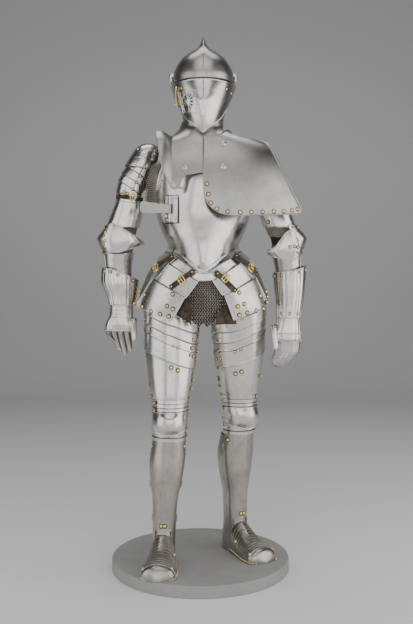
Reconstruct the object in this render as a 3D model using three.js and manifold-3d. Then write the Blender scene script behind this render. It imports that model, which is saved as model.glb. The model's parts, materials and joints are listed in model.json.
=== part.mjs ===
// Suit of plate armour for jousting, hollow, standing on a round plinth.
// Millimetres, +Z up, front towards -Y, the wearer's right hand towards -X.
// Every plate is a thin wall cut from a form: a closed surface that a short table of sections describes.
import * as THREE from "three";
import { mergeVertices } from "three/addons/utils/BufferGeometryUtils.js";
import Module from "manifold-3d";

const wasm = await Module();
wasm.setup();

// Driving dimensions
const PLINTH = { radius: 303, height: 40, chamfer: 5 };
const SUIT_AT = { x: 10, y: 20 };
const WALL = 1.8;
const MAIL_WALL = 2.6;
const LAP = 2.5;
const SEAM = 0.3;
const SLIVER = 0.03;
const BAR_TURN = 0.26;
const STEP = 20;
const RIDGE_SPREAD = 13;
const DEGREE = Math.PI / 180;

// Heights above the plinth
const HEIGHT = { comb: 1789, pivot: 1652, sight: 1620, collar: 1490, chin: 1441, point: 980, fauld: 948 };
const SIGHT_GAP = 5.5;
const SOLE = 0.4;
const BOLT = { radius: 4, proud: 1.2, sides: 6 };
const PIVOT = { radius: 4, reach: 119 };
const ROSETTE = { x: -51, z: 1541, across: 17, high: 28, slots: 12, hub: 0.4, widest: 5, narrowing: 0.4 };

// Breath door: its corners across the prow, from low at the rear, and its hinge
const DOOR_CORNERS = [{ x: -62, z: 1508 }, { x: -22, z: 1497 }, { x: -22, z: 1580 }, { x: -80, z: 1580 }];
const HINGE = { lift: 6.4, lug: 2.6, barrel: 2 };

// Steel, mail, leather and brass, as seen on the suit
const FINISH = {
  bright: { color: 0xc9c7c2, roughness: 0.22, metalness: 1 },
  satin: { color: 0x9b9a96, roughness: 0.36, metalness: 1 },
  dark: { color: 0x7c776d, roughness: 0.4, metalness: 1 },
  mail: { color: 0x5b534a, roughness: 0.6, metalness: 0.8 },
  leather: { color: 0x6a4a2c, roughness: 0.7, metalness: 0 },
  gilt: { color: 0xb08d3a, roughness: 0.35, metalness: 1 },
  plinth: { color: 0x8b8b8b, roughness: 0.7, metalness: 0 },
};

const root = new THREE.Group();
const suit = new THREE.Group();
suit.position.set(SUIT_AT.x, SUIT_AT.y, PLINTH.height);
root.add(suit);

const lerp = THREE.MathUtils.lerp;

// A smooth curve through table rows, sorted by one column: cubic pieces whose slopes never overshoot a row.
function curveThrough(rows, by, of) {
  const sorted = [...rows].sort((a, b) => a[by] - b[by]);
  const at = sorted.map((row) => row[by]);
  const value = sorted.map((row) => row[of] ?? 0);
  const last = at.length - 1;
  const rise = at.slice(1).map((next, i) => (value[i + 1] - value[i]) / (next - at[i]));
  const slope = at.map((_, i) => {
    if (i === 0) return rise[0] ?? 0;
    if (i === last) return rise[last - 1];
    return rise[i - 1] * rise[i] <= 0 ? 0 : (2 * rise[i - 1] * rise[i]) / (rise[i - 1] + rise[i]);
  });
  return (x) => {
    if (x <= at[0]) return value[0] + (x - at[0]) * slope[0];
    if (x >= at[last]) return value[last] + (x - at[last]) * slope[last];
    let i = 0;
    while (x > at[i + 1]) i += 1;
    const span = at[i + 1] - at[i];
    const t = (x - at[i]) / span;
    const keep = (1 + 2 * t) * (1 - t) * (1 - t);
    const leave = t * (1 - t) * (1 - t);
    const reach = t * t * (3 - 2 * t);
    const arrive = t * t * (t - 1);
    return keep * value[i] + leave * span * slope[i] + reach * value[i + 1] + arrive * span * slope[i + 1];
  };
}

// An edge line: rows of [place, height] joined by a smooth curve.
function edge(...pairs) {
  return curveThrough(pairs.map(([place, height]) => ({ place, height })), "place", "height");
}

// A form: sections at rising heights z with a centre (x, y), a half width, a front and a back depth, a medial
// ridge and a pinch (1 is an ellipse, more pinches the corners). Angle 0 is the front and 90 is towards +X.
function makeForm(rows) {
  const column = (name) => curveThrough(rows, "z", name);
  const [x, y, half, front, back, ridge] = ["x", "y", "half", "front", "back", "ridge"].map(column);
  const pinch = curveThrough(rows.map((row) => ({ z: row.z, pinch: row.pinch ?? 1 })), "z", "pinch");
  const bare = (angle, z) => {
    const sine = Math.sin(angle * DEGREE);
    const cosine = Math.cos(angle * DEGREE);
    const power = pinch(z);
    const turned = Math.abs(((angle + 180) % 360) - 180);
    const keel = ridge(z) * Math.exp(-((turned / RIDGE_SPREAD) ** 2));
    const depth = cosine > 0 ? front(z) + keel : back(z);
    return new THREE.Vector3(
      x(z) + half(z) * Math.sign(sine) * Math.abs(sine) ** power,
      y(z) - depth * Math.sign(cosine) * Math.abs(cosine) ** power,
      z,
    );
  };
  const form = lifted(bare);
  form.half = half;
  form.centre = x;
  form.middle = y;
  return form;
}

// A surface (u, v) with a lift along its own outward normal.
function lifted(bare, du = 0.5, dv = 1) {
  return (u, v, lift = 0) => {
    const point = bare(u, v);
    if (!lift) return point;
    const along = bare(u + du, v).sub(bare(u - du, v));
    const up = bare(u, v + dv).sub(bare(u, v - dv));
    const normal = along.cross(up).normalize();
    return point.addScaledVector(normal, lift);
  };
}

// Whole multiples of the step between two angles, with both ends.
function stations(from, to, step) {
  const inner = [];
  for (let a = Math.ceil((from + 0.25 * step) / step) * step; a < to - 0.25 * step; a += step) inner.push(a);
  return [from, ...inner, to];
}

// A closed wall from two equal grids of points, outer[j][i] and inner[j][i]. A round wall closes on itself in j.
function wallBetween(outer, inner, round = false) {
  const across = outer.length;
  const rising = outer[0].length;
  const corners = [...outer.flat(), ...inner.flat()];
  const out = (j, i) => (j % across) * rising + i;
  const within = (j, i) => across * rising + out(j, i);
  const faces = [];
  const quad = (a, b, c, d) => faces.push(a, b, c, a, c, d);
  const spans = round ? across : across - 1;
  for (let j = 0; j < spans; j += 1) {
    for (let i = 0; i < rising - 1; i += 1) {
      quad(out(j, i), out(j + 1, i), out(j + 1, i + 1), out(j, i + 1));
      quad(within(j, i), within(j, i + 1), within(j + 1, i + 1), within(j + 1, i));
    }
    quad(within(j, 0), within(j + 1, 0), out(j + 1, 0), out(j, 0));
    const top = rising - 1;
    quad(out(j, top), out(j + 1, top), within(j + 1, top), within(j, top));
  }
  if (!round) {
    const end = across - 1;
    for (let i = 0; i < rising - 1; i += 1) {
      quad(out(0, i), out(0, i + 1), within(0, i + 1), within(0, i));
      quad(out(end, i), within(end, i), within(end, i + 1), out(end, i + 1));
    }
  }
  const geometry = new THREE.BufferGeometry().setFromPoints(corners);
  geometry.setIndex(faces);
  return geometry;
}

// A named mesh with its own material, added to a group.
function addPiece(group, name, geometry, finish) {
  geometry.computeVertexNormals();
  const material = new THREE.MeshStandardMaterial({ ...finish, side: THREE.DoubleSide });
  const mesh = new THREE.Mesh(geometry, material);
  mesh.name = name;
  group.add(mesh);
  return mesh;
}

// A plate cut from a form. spec.map(s, t) gives the place on the form; s and t are lists of stations from 0 to 1.
// spec.lift(s, t) is how far the outer face stands off the form.
function cutPlate(form, { map, s, t, lift = () => 0, wall = WALL, round = false }) {
  const grid = (depth) =>
    s.map((across) =>
      t.map((rising) => form(...map(across, rising), lift(across, rising) - depth)),
    );
  return wallBetween(grid(0), grid(wall), round);
}

// Stations that divide 0..1 evenly.
function even(parts) {
  return Array.from({ length: parts + 1 }, (_, i) => i / parts);
}

// A dome: a wall all round a form that closes at a pole, with a lower pole for its hollow.
function domePlate(form, { bottom, top, hollowTop, rows, wall = WALL }) {
  const angles = stations(-180, 180, STEP).slice(0, -1);
  const points = [];
  const ring = (angle, height, lift) => points.push(form(angle, height, lift));
  for (const [reach, lift] of [[top, 0], [hollowTop, -wall]]) {
    for (const angle of angles) {
      for (let i = 0; i < rows; i += 1) ring(angle, lerp(bottom(angle), reach, (i / rows) ** 0.8), lift);
    }
  }
  const pole = (height) => points.push(new THREE.Vector3(form.centre(height), form.middle(height), height));
  pole(top + 1);
  pole(hollowTop + 1);
  const count = angles.length;
  const at = (shell, j, i) => shell * count * rows + (j % count) * rows + i;
  const faces = [];
  for (let j = 0; j < count; j += 1) {
    for (let i = 0; i < rows - 1; i += 1) {
      faces.push(at(0, j, i), at(0, j + 1, i), at(0, j + 1, i + 1), at(0, j, i), at(0, j + 1, i + 1), at(0, j, i + 1));
      faces.push(at(1, j, i), at(1, j + 1, i + 1), at(1, j + 1, i), at(1, j, i), at(1, j, i + 1), at(1, j + 1, i + 1));
    }
    faces.push(at(0, j, rows - 1), at(0, j + 1, rows - 1), 2 * count * rows);
    faces.push(at(1, j + 1, rows - 1), at(1, j, rows - 1), 2 * count * rows + 1);
    faces.push(at(1, j, 0), at(1, j + 1, 0), at(0, j + 1, 0), at(1, j, 0), at(0, j + 1, 0), at(0, j, 0));
  }
  return new THREE.BufferGeometry().setFromPoints(points).setIndex(faces);
}

const number = (value) => (typeof value === "function" ? value : () => value);

// A plate that follows its form between two angles and two edge lines, rows of quads high.
// A profile of [share of the height, lift] rows gives the wall steps, such as lapped lames; else it runs evenly.
function bandPlate(form, { from, to, bottom, top, rows = 3, step = STEP, lift = 0, lower = lift, wall, profile }) {
  const low = number(bottom);
  const high = number(top);
  const round = to - from === 360;
  const angles = stations(from, to, step);
  if (round) angles.pop();
  return cutPlate(form, {
    s: angles,
    t: profile ? profile.map(([share]) => share) : even(rows),
    map: (angle, t) => [angle, lerp(low(angle), high(angle), t)],
    lift: profile ? (angle, t) => profile.find(([share]) => share === t)[1] : (angle, t) => lerp(lower, lift, t),
    wall,
    round,
  });
}

// The profile of lapped lames: each stands off at its lower edge and slips under the one above.
function lapped(count, rise, sign = 1) {
  const rows = [];
  for (let i = 0; i < count; i += 1) {
    const tucked = sign < 0 ? rise : 0;
    rows.push([i / count + (i ? 0.02 : 0), sign > 0 ? rise : 0], [(i + 1) / count - (i < count - 1 ? 0.02 : 0), tucked]);
  }
  return rows;
}

// A plate cut in columns across a form's front: each row gives x with the bottom and the top edge there.
function columnPlate(form, columns, { shares, lift = 0, wall, bulge = () => 0 }) {
  const low = edge(...columns.map((c) => [c.x, c.bottom]));
  const high = edge(...columns.map((c) => [c.x, c.top]));
  return cutPlate(form, {
    s: columns.map((c) => c.x),
    t: shares,
    map: (x, t) => {
      const z = lerp(low(x), high(x), t);
      const share = THREE.MathUtils.clamp((x - form.centre(z)) / form.half(z), -0.999, 0.999);
      return [Math.asin(share) / DEGREE, z];
    },
    lift: (x, t) => lift + bulge(x, lerp(low(x), high(x), t)),
    wall,
  });
}

// A four-cornered plate across a form's front, with a crown that swells its middle.
function cornerPlate(form, { corners, lift = 0, crown = 0, across = 5, rows = 2, wall }) {
  const [a, b, c, d] = corners;
  return cutPlate(form, {
    s: even(across),
    t: even(rows),
    map: (s, t) => {
      const x = lerp(lerp(a.x, b.x, s), lerp(d.x, c.x, s), t);
      const z = lerp(lerp(a.z, b.z, s), lerp(d.z, c.z, s), t);
      const share = THREE.MathUtils.clamp((x - form.centre(z)) / form.half(z), -0.999, 0.999);
      return [Math.asin(share) / DEGREE, z];
    },
    lift: (s) => lift + crown * Math.sin(Math.PI * s),
    wall,
  });
}

// Solids for joining and cutting. Slivers below SLIVER are merged away.
function solidFrom(geometry) {
  const bare = geometry.clone();
  bare.deleteAttribute("normal");
  bare.deleteAttribute("uv");
  const merged = mergeVertices(bare, 1e-4);
  const mesh = new wasm.Mesh({
    numProp: 3,
    vertProperties: new Float32Array(merged.attributes.position.array),
    triVerts: new Uint32Array(merged.index.array),
  });
  return new wasm.Manifold(mesh);
}

function geometryFrom(solid) {
  const mesh = solid.simplify(SLIVER).getMesh();
  const geometry = new THREE.BufferGeometry();
  const places = new Float32Array(mesh.numVert * 3);
  for (let i = 0; i < mesh.numVert; i += 1) {
    places.set(mesh.vertProperties.subarray(i * mesh.numProp, i * mesh.numProp + 3), i * 3);
  }
  geometry.setAttribute("position", new THREE.BufferAttribute(places, 3));
  geometry.setIndex(new THREE.BufferAttribute(new Uint32Array(mesh.triVerts), 1));
  return geometry;
}

function joined(first, ...others) {
  return geometryFrom(others.reduce((sum, next) => sum.add(solidFrom(next)), solidFrom(first)));
}

function without(body, ...cutters) {
  return geometryFrom(cutters.reduce((rest, next) => rest.subtract(solidFrom(next)), solidFrom(body)));
}

// A round bar along X, Y or Z about a point.
function bar(axis, radius, length, at, sides = 16) {
  const shape = new THREE.CylinderGeometry(radius, radius, length, sides, 1, false, BAR_TURN);
  if (axis === "x") shape.rotateZ(Math.PI / 2);
  if (axis === "z") shape.rotateX(Math.PI / 2);
  return shape.translate(at.x, at.y, at.z);
}

function block(width, depth, height, at) {
  return new THREE.BoxGeometry(width, depth, height).translate(at.x, at.y, at.z);
}

// Forms of the head and body
const HEAD = makeForm([
  { z: 1418, half: 114, front: 116, back: 106 },
  { z: 1440, half: 80, front: 104, back: 82 },
  { z: 1466, half: 73, front: 98, back: 80 },
  { z: 1490, half: 72, front: 100, back: 82 },
  { z: 1520, half: 78, front: 108, back: 92, y: 2 },
  { z: 1560, half: 92, front: 114, back: 106, y: 4 },
  { z: 1600, half: 103, front: 118, back: 118, y: 6 },
  { z: 1640, half: 108, front: 120, back: 124, y: 6 },
  { z: 1669, half: 101, front: 115, back: 120, y: 6, ridge: 1 },
  { z: 1690, half: 91, front: 107, back: 114, y: 6, ridge: 2 },
  { z: 1713, half: 75, front: 94, back: 104, y: 6, ridge: 3, pinch: 1.1 },
  { z: 1732, half: 52, front: 80, back: 92, y: 6, pinch: 1.35 },
  { z: 1748, half: 25, front: 68, back: 80, y: 6, pinch: 1.5 },
  { z: 1766, half: 11, front: 50, back: 62, y: 6, pinch: 1.3 },
  { z: 1779, half: 6, front: 33, back: 42, y: 6, pinch: 1.1 },
  { z: 1787, half: 3.2, front: 14, back: 19, y: 6 },
]);
const PROW = makeForm([
  { z: 1441, half: 60, front: 128, back: 60, ridge: 5, pinch: 1.05 },
  { z: 1470, half: 76, front: 143, back: 60, ridge: 5, pinch: 1.05 },
  { z: 1500, half: 86, front: 151, back: 60, ridge: 4, pinch: 1.03 },
  { z: 1540, half: 98, front: 151, back: 60, ridge: 3 },
  { z: 1580, half: 108, front: 144, back: 60, ridge: 2 },
  { z: 1620, half: 113.5, front: 132, back: 60, ridge: 1 },
  { z: 1665, half: 114.5, front: 126, back: 60 },
]);
const TORSO = makeForm([
  { z: 975, half: 118, front: 188, back: 88, ridge: 6, pinch: 1.1 },
  { z: 1010, half: 118, front: 195, back: 88, ridge: 6, pinch: 1.1 },
  { z: 1060, half: 122, front: 190, back: 92, ridge: 5, pinch: 1.05 },
  { z: 1100, half: 139, front: 181, back: 98, ridge: 5 },
  { z: 1160, half: 160, front: 168, back: 108, ridge: 4 },
  { z: 1230, half: 170, front: 153, back: 116, ridge: 4 },
  { z: 1300, half: 168, front: 136, back: 118, ridge: 3 },
  { z: 1360, half: 154, front: 116, back: 110, ridge: 2 },
  { z: 1400, half: 134, front: 98, back: 96, ridge: 1 },
  { z: 1430, half: 110, front: 86, back: 84 },
]);
const GUARD = makeForm([
  { z: 1150, half: 376, front: 190, back: 60 },
  { z: 1250, half: 352, front: 176, back: 60 },
  { z: 1320, half: 322, front: 162, back: 60 },
  { z: 1370, half: 288, front: 148, back: 60 },
  { z: 1400, half: 250, front: 136, back: 60 },
  { z: 1420, half: 205, front: 127, back: 60 },
  { z: 1438, half: 140, front: 119, back: 60 },
  { z: 1450, half: 108, front: 114, back: 60 },
  { z: 1466, half: 84, front: 110, back: 60 },
  { z: 1490, half: 79, front: 108, back: 60 },
]);
const HIPS = makeForm([
  { z: 780, half: 246, front: 168, back: 160 },
  { z: 820, half: 243, front: 176, back: 158 },
  { z: 860, half: 238, front: 186, back: 152 },
  { z: 900, half: 229, front: 193, back: 146 },
  { z: 960, half: 208, front: 199, back: 132 },
  { z: 1000, half: 186, front: 200, back: 120 },
  { z: 1035, half: 152, front: 198, back: 108 },
  { z: 1062, half: 126, front: 195, back: 98 },
]);

function addPlinth() {
  const { radius, height, chamfer } = PLINTH;
  const profile = [
    [0, 0], [radius, 0], [radius, height - chamfer], [radius - chamfer, height], [0, height],
  ].map(([r, z]) => new THREE.Vector2(r, z));
  const geometry = new THREE.LatheGeometry(profile, 40).rotateX(Math.PI / 2);
  addPiece(root, "plinth", geometry, FINISH.plinth);
}

function addHelmet() {
  const head = new THREE.Group();
  suit.add(head);
  const pivotBore = bar("x", PIVOT.radius + SEAM, 2 * PIVOT.reach + 20, { x: 0, y: 0, z: HEIGHT.pivot }, 12);
  const brow = edge(
    [-180, 1486], [-130, 1500], [-105, 1560], [-88, 1622], [-60, HEIGHT.sight + SIGHT_GAP],
    [0, HEIGHT.sight + SIGHT_GAP + 2], [60, HEIGHT.sight + SIGHT_GAP], [88, 1622], [105, 1560], [130, 1500],
    [180, 1486],
  );
  const skull = domePlate(HEAD, { bottom: brow, top: HEIGHT.comb - 1, hollowTop: HEIGHT.comb - 20, rows: 8 });
  addPiece(head, "helmet_skull", joined(skull, ...[-1, 1].flatMap(pivotParts)), FINISH.satin);
  const bevorTop = edge([-100, 1570], [-80, 1625], [-60, 1600], [0, 1520], [60, 1600], [80, 1625], [100, 1570]);
  const bevor = bandPlate(HEAD, {
    from: -100, to: 100, bottom: HEIGHT.collar - 14, top: bevorTop, rows: 4, lift: -LAP, lower: -LAP,
  });
  addPiece(head, "helmet_bevor", bevor, FINISH.satin);
  const nape = bandPlate(HEAD, {
    from: 82, to: 278, bottom: 1418, top: 1508, rows: 3, lift: -2.4 * LAP, lower: -2.4 * LAP,
  });
  addPiece(head, "neck_plate", nape, FINISH.satin);
  addVisor(pivotBore);
}

// A pivot: a round pin riveted into the skull, under a disc that keeps the visor's arm on it.
function pivotParts(side) {
  const pin = bar("x", PIVOT.radius, 22, { x: side * (PIVOT.reach - 11), y: 0, z: HEIGHT.pivot }, 12);
  const disc = bar("x", 8, 2, { x: side * (PIVOT.reach - 0.5), y: 0, z: HEIGHT.pivot }, 12);
  return [pin, disc];
}

// The visor's prow, with its arms at the pivots and the opening behind the breath door.
function addVisor(pivotBore) {
  const top = edge([-97, 1663], [-88, 1664], [-74, 1630], [-60, HEIGHT.sight], [0, HEIGHT.sight + 2],
    [60, HEIGHT.sight], [74, 1630], [88, 1664], [97, 1663]);
  const bottom = edge([-97, 1643], [-88, 1640], [-75, 1590], [-60, 1530], [-45, 1490], [-22, 1463],
    [0, HEIGHT.chin], [22, 1463], [45, 1490], [60, 1530], [75, 1590], [88, 1640], [97, 1643]);
  const shell = bandPlate(PROW, { from: -97, to: 97, bottom, top, rows: 8, step: 12.2 });
  const opening = doorBlock({ x: -58, z: 1518 }, { x: -30, z: 1570 });
  const axis = hingeLine(PROW, DOOR_CORNERS[0], DOOR_CORNERS[3], HINGE.lift);
  const lugs = [[-7, -SEAM], [axis.length + SEAM, axis.length + 7]].flatMap(([from, to]) => [
    rod(axis, HINGE.lug, from, to),
    hingeBlock(axis, [from, to], [-1.5, 1.5], [-HINGE.lift - 4, 0]),
  ]);
  addPiece(suit, "visor", joined(without(shell, pivotBore, opening), ...lugs), FINISH.bright);
  const leaf = cornerPlate(PROW, { corners: DOOR_CORNERS, lift: WALL + 1.2, across: 5, rows: 3 });
  const slots = Array.from({ length: ROSETTE.slots }, (_, i) => rosetteSlot(i));
  const barrel = rod(axis, HINGE.barrel, 0, axis.length);
  const tab = hingeBlock(axis, [0.35 * axis.length, 0.65 * axis.length], [-1, 8], [-2.2, -0.2]);
  addPiece(suit, "breath_door", joined(without(leaf, ...slots), barrel, tab), FINISH.bright);
}

// A block beside a hinge line: its spans along the line, across it and outwards from it.
function hingeBlock(line, along, across, outward) {
  const size = [across, along, outward].map(([from, to]) => to - from);
  const middle = [across, along, outward].map(([from, to]) => (from + to) / 2);
  const shape = new THREE.BoxGeometry(...size).translate(...middle);
  const side = new THREE.Vector3().crossVectors(line.along, line.outward).normalize();
  const frame = new THREE.Matrix4().makeBasis(side, line.along, line.outward);
  return shape.applyMatrix4(frame).translate(line.foot.x, line.foot.y, line.foot.z);
}

// A hinge line between two places (x, z) of a form, held a little way off it.
function hingeLine(form, low, high, lift) {
  const on = ({ x, z }, rise) => form(Math.asin((x - form.centre(z)) / form.half(z)) / DEGREE, z, rise);
  const foot = on(low, lift);
  const along = on(high, lift).sub(foot);
  const length = along.length();
  along.normalize();
  const outward = foot.clone().sub(on(low, 0));
  outward.addScaledVector(along, -outward.dot(along)).normalize();
  return { foot, along, length, outward };
}

// A bolt that carries a front plate on the plate behind it: it stands square on the rear one, a seam away.
function bolt(front, behind, x, z, lifts = [0, 0]) {
  const on = (form, rise) => form(Math.asin((x - form.centre(z)) / form.half(z)) / DEGREE, z, rise);
  const foot = on(behind, lifts[1] + SEAM);
  const along = on(behind, lifts[1] + 10).sub(foot).normalize();
  const reach = (on(front, lifts[0]).y - foot.y) / along.y + BOLT.proud;
  return rod({ foot, along }, BOLT.radius, 0, reach, BOLT.sides);
}

// A round rod on a hinge line between two distances from its foot.
function rod(line, radius, from, to, sides = 12) {
  const shape = new THREE.CylinderGeometry(radius, radius, to - from, sides);
  const turn = new THREE.Quaternion().setFromUnitVectors(new THREE.Vector3(0, 1, 0), line.along);
  shape.applyQuaternion(turn);
  const middle = line.foot.clone().addScaledVector(line.along, (from + to) / 2);
  return shape.translate(middle.x, middle.y, middle.z);
}

function doorBlock(low, high) {
  const width = high.x - low.x;
  const height = high.z - low.z;
  return block(width, 120, height, { x: (low.x + high.x) / 2, y: -120, z: (low.z + high.z) / 2 });
}

// One slot of the rosette: a wedge that widens away from the rosette's centre.
function rosetteSlot(i) {
  const turn = (i / ROSETTE.slots) * 2 * Math.PI;
  const reach = 1 - ROSETTE.hub;
  const shape = new THREE.BoxGeometry(ROSETTE.across * reach, 60, ROSETTE.widest);
  const place = shape.attributes.position;
  for (let k = 0; k < place.count; k += 1) {
    if (place.getX(k) < 0) place.setZ(k, place.getZ(k) * ROSETTE.narrowing);
  }
  shape.translate(ROSETTE.across * (ROSETTE.hub + reach / 2), 0, 0).rotateY(-turn);
  shape.scale(1, 1, ROSETTE.high / ROSETTE.across);
  return shape.translate(ROSETTE.x, -120, ROSETTE.z);
}

// The right chest plate: x, with its lower and upper edge
const CHEST_COLUMNS = [
  { x: -150, bottom: 1424, top: 1447 }, { x: -143, bottom: 1392, top: 1445 }, { x: -136, bottom: 1352, top: 1441 },
  { x: -126, bottom: 1306, top: 1436 }, { x: -114, bottom: 1276, top: 1432 }, { x: -104, bottom: 1252, top: 1434 },
  { x: -93, bottom: 1249, top: 1447 }, { x: -80, bottom: 1257, top: 1470 }, { x: -70, bottom: 1284, top: 1487 },
  { x: -57, bottom: 1297, top: 1487 }, { x: -40, bottom: 1300, top: 1482 }, { x: -20, bottom: 1303, top: 1474 },
  { x: 0, bottom: 1306, top: 1462 }, { x: 20, bottom: 1310, top: 1472 }, { x: 42, bottom: 1315, top: 1484 },
  { x: 58, bottom: 1322, top: 1487 }, { x: 66, bottom: 1336, top: 1487 },
];
// The shoulder targe: x, with its lower and upper edge
const TARGE_COLUMNS = [
  { x: 1, bottom: 1262, top: 1423 }, { x: 6, bottom: 1228, top: 1424 }, { x: 13, bottom: 1205, top: 1425 },
  { x: 31, bottom: 1183, top: 1427 }, { x: 58, bottom: 1168, top: 1433 }, { x: 82, bottom: 1163, top: 1451 },
  { x: 98, bottom: 1161, top: 1434 }, { x: 122, bottom: 1161, top: 1424 }, { x: 152, bottom: 1162, top: 1420 },
  { x: 180, bottom: 1163, top: 1419 }, { x: 203, bottom: 1164, top: 1411 }, { x: 222, bottom: 1165, top: 1389 },
  { x: 240, bottom: 1166, top: 1355 }, { x: 262, bottom: 1167, top: 1310 }, { x: 285, bottom: 1168, top: 1263 },
  { x: 308, bottom: 1169, top: 1219 }, { x: 327, bottom: 1170, top: 1183 },
];
const RISING = [0, 0.2, 0.4, 0.6, 0.75, 0.88, 1];
const FLANGE = { crease: -104, reach: 46, rise: 34 };
// The forward flange of the right chest plate: it flares from a crease to the arm side.
function flangeRise(x) {
  const share = THREE.MathUtils.clamp((FLANGE.crease - x) / FLANGE.reach, 0, 1);
  return FLANGE.rise * share * (2 - share);
}

function addTrunk() {
  const breastTop = edge([-88, 1212], [-80, 1226], [-68, 1262], [-58, 1325], [-48, 1385], [-36, 1404], [0, 1384],
    [36, 1404], [48, 1385], [58, 1325], [68, 1262], [80, 1226], [88, 1212]);
  const breastBottom = edge([-88, 1057], [-60, 1052], [-40, 1032], [-20, 1000], [0, HEIGHT.point], [20, 1000],
    [40, 1032], [60, 1052], [88, 1057]);
  const breast = bandPlate(TORSO, { from: -88, to: 88, bottom: breastBottom, top: breastTop, rows: 7, step: 11 });
  addPiece(suit, "breastplate", breast, FINISH.bright);
  const backTop = edge([84, 1208], [96, 1232], [112, 1310], [124, 1385], [140, 1412], [180, 1396], [220, 1412],
    [236, 1385], [248, 1310], [264, 1232], [276, 1208]);
  const back = bandPlate(TORSO, {
    from: 84, to: 276, bottom: 1058, top: backTop, rows: 5, lift: -4, lower: -4,
  });
  addPiece(suit, "backplate", back, FINISH.bright);
  const chest = columnPlate(GUARD, CHEST_COLUMNS, { shares: RISING, bulge: flangeRise });
  addPiece(suit, "chest_plate_right", joined(chest, bolt(GUARD, TORSO, -64, 1339)), FINISH.satin);
  const targe = columnPlate(GUARD, TARGE_COLUMNS, { shares: [0, 0.2, 0.4, 0.6, 0.75, 0.86, 0.94, 1], lift: WALL + 5 });
  const targeBolt = bolt(GUARD, TORSO, 69, 1344, [WALL + 5, 0]);
  addPiece(suit, "targe_left", joined(targe, targeBolt), FINISH.satin);
}

// Straps over the tassets, from the fauld down
const STRAP = { width: 17, lift: 12.4, thick: 2.5, buckle: 0.5 };
const STRAPS = {
  right_centre: { from: { x: -27, z: 981 }, to: { x: -96, z: 926 } },
  left_centre: { from: { x: 37, z: 977 }, to: { x: 97, z: 914 } },
};

// The corners of a straight strip between two places.
function stripCorners(from, to, width) {
  const length = Math.hypot(to.x - from.x, to.z - from.z);
  const side = { x: (-(to.z - from.z) / length) * (width / 2), z: ((to.x - from.x) / length) * (width / 2) };
  const at = (end, sign) => ({ x: end.x + sign * side.x, z: end.z + sign * side.z });
  return from.x < to.x
    ? [at(from, -1), at(to, -1), at(to, 1), at(from, 1)]
    : [at(to, 1), at(from, 1), at(from, -1), at(to, -1)];
}

// Fauld, tassets and culet
const TASSET_LIFT = { upper: 0, middle: 3.2, lower: 6.2 };
const RIGHT_TASSETS = {
  upper: [{ x: -112, z: 1004 }, { x: -62, z: 966 }, { x: -22, z: 980 }, { x: -88, z: 1024 }],
  middle: [{ x: -157, z: 948 }, { x: -56, z: 892 }, { x: -15, z: 947 }, { x: -112, z: 1004 }],
  lower: [{ x: -226, z: 862 }, { x: -101, z: 817 }, { x: -57, z: 897 }, { x: -163, z: 953 }],
};
const LEFT_TASSETS = {
  upper: [{ x: 54, z: 964 }, { x: 106, z: 1001 }, { x: 88, z: 1021 }, { x: 18, z: 980 }],
  middle: [{ x: 62, z: 901 }, { x: 164, z: 955 }, { x: 120, z: 1005 }, { x: 30, z: 949 }],
  lower: [{ x: 99, z: 819 }, { x: 216, z: 866 }, { x: 171, z: 957 }, { x: 68, z: 902 }],
};

// Lance rest: its plate on the breast, and the arm that swings on the plate's hinge
const REST = {
  corners: [{ x: -124, z: 1141 }, { x: -83, z: 1140 }, { x: -83, z: 1229 }, { x: -124, z: 1229 }],
  thick: 3, hinge: -104, low: 1144, high: 1226, lift: 12.6, barrel: 5, share: 0.3,
  reach: 102, plate: 5, turn: 20,
};

function addLanceRest() {
  const base = cornerPlate(TORSO, { corners: REST.corners, lift: REST.thick + 0.9, across: 3, rows: 3, wall: REST.thick });
  const axis = hingeLine(TORSO, { x: REST.hinge, z: REST.low }, { x: REST.hinge, z: REST.high }, REST.lift);
  const share = REST.share * axis.length;
  const lugs = [[0, share], [axis.length - share, axis.length]].flatMap((span) => [
    rod(axis, REST.barrel, ...span),
    hingeBlock(axis, span, [-3, 3], [-REST.lift + 2.2, 0]),
  ]);
  addPiece(suit, "lance_rest_plate", joined(base, ...lugs), FINISH.bright);
  const outline = new THREE.Shape();
  outline.moveTo(0, -13).lineTo(58, -17).lineTo(REST.reach - 12, -19);
  outline.quadraticCurveTo(REST.reach, -18, REST.reach, -6).lineTo(REST.reach, 8);
  outline.quadraticCurveTo(REST.reach, 19, REST.reach - 10, 20).lineTo(40, 15).lineTo(0, 13).closePath();
  const arm = new THREE.ExtrudeGeometry(outline, { depth: REST.plate, bevelEnabled: false, curveSegments: 4 });
  arm.translate(0, 0, -REST.plate / 2).rotateX(Math.PI / 2).rotateZ(Math.PI + REST.turn * DEGREE);
  const upright = new THREE.Quaternion().setFromUnitVectors(new THREE.Vector3(0, 0, 1), axis.along);
  arm.applyQuaternion(upright);
  const middle = axis.foot.clone().addScaledVector(axis.along, axis.length / 2);
  arm.translate(middle.x, middle.y, middle.z);
  const barrel = rod(axis, REST.barrel, share + SEAM, axis.length - share - SEAM);
  addPiece(suit, "lance_rest_arm", joined(barrel, arm), FINISH.bright);
}

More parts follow.
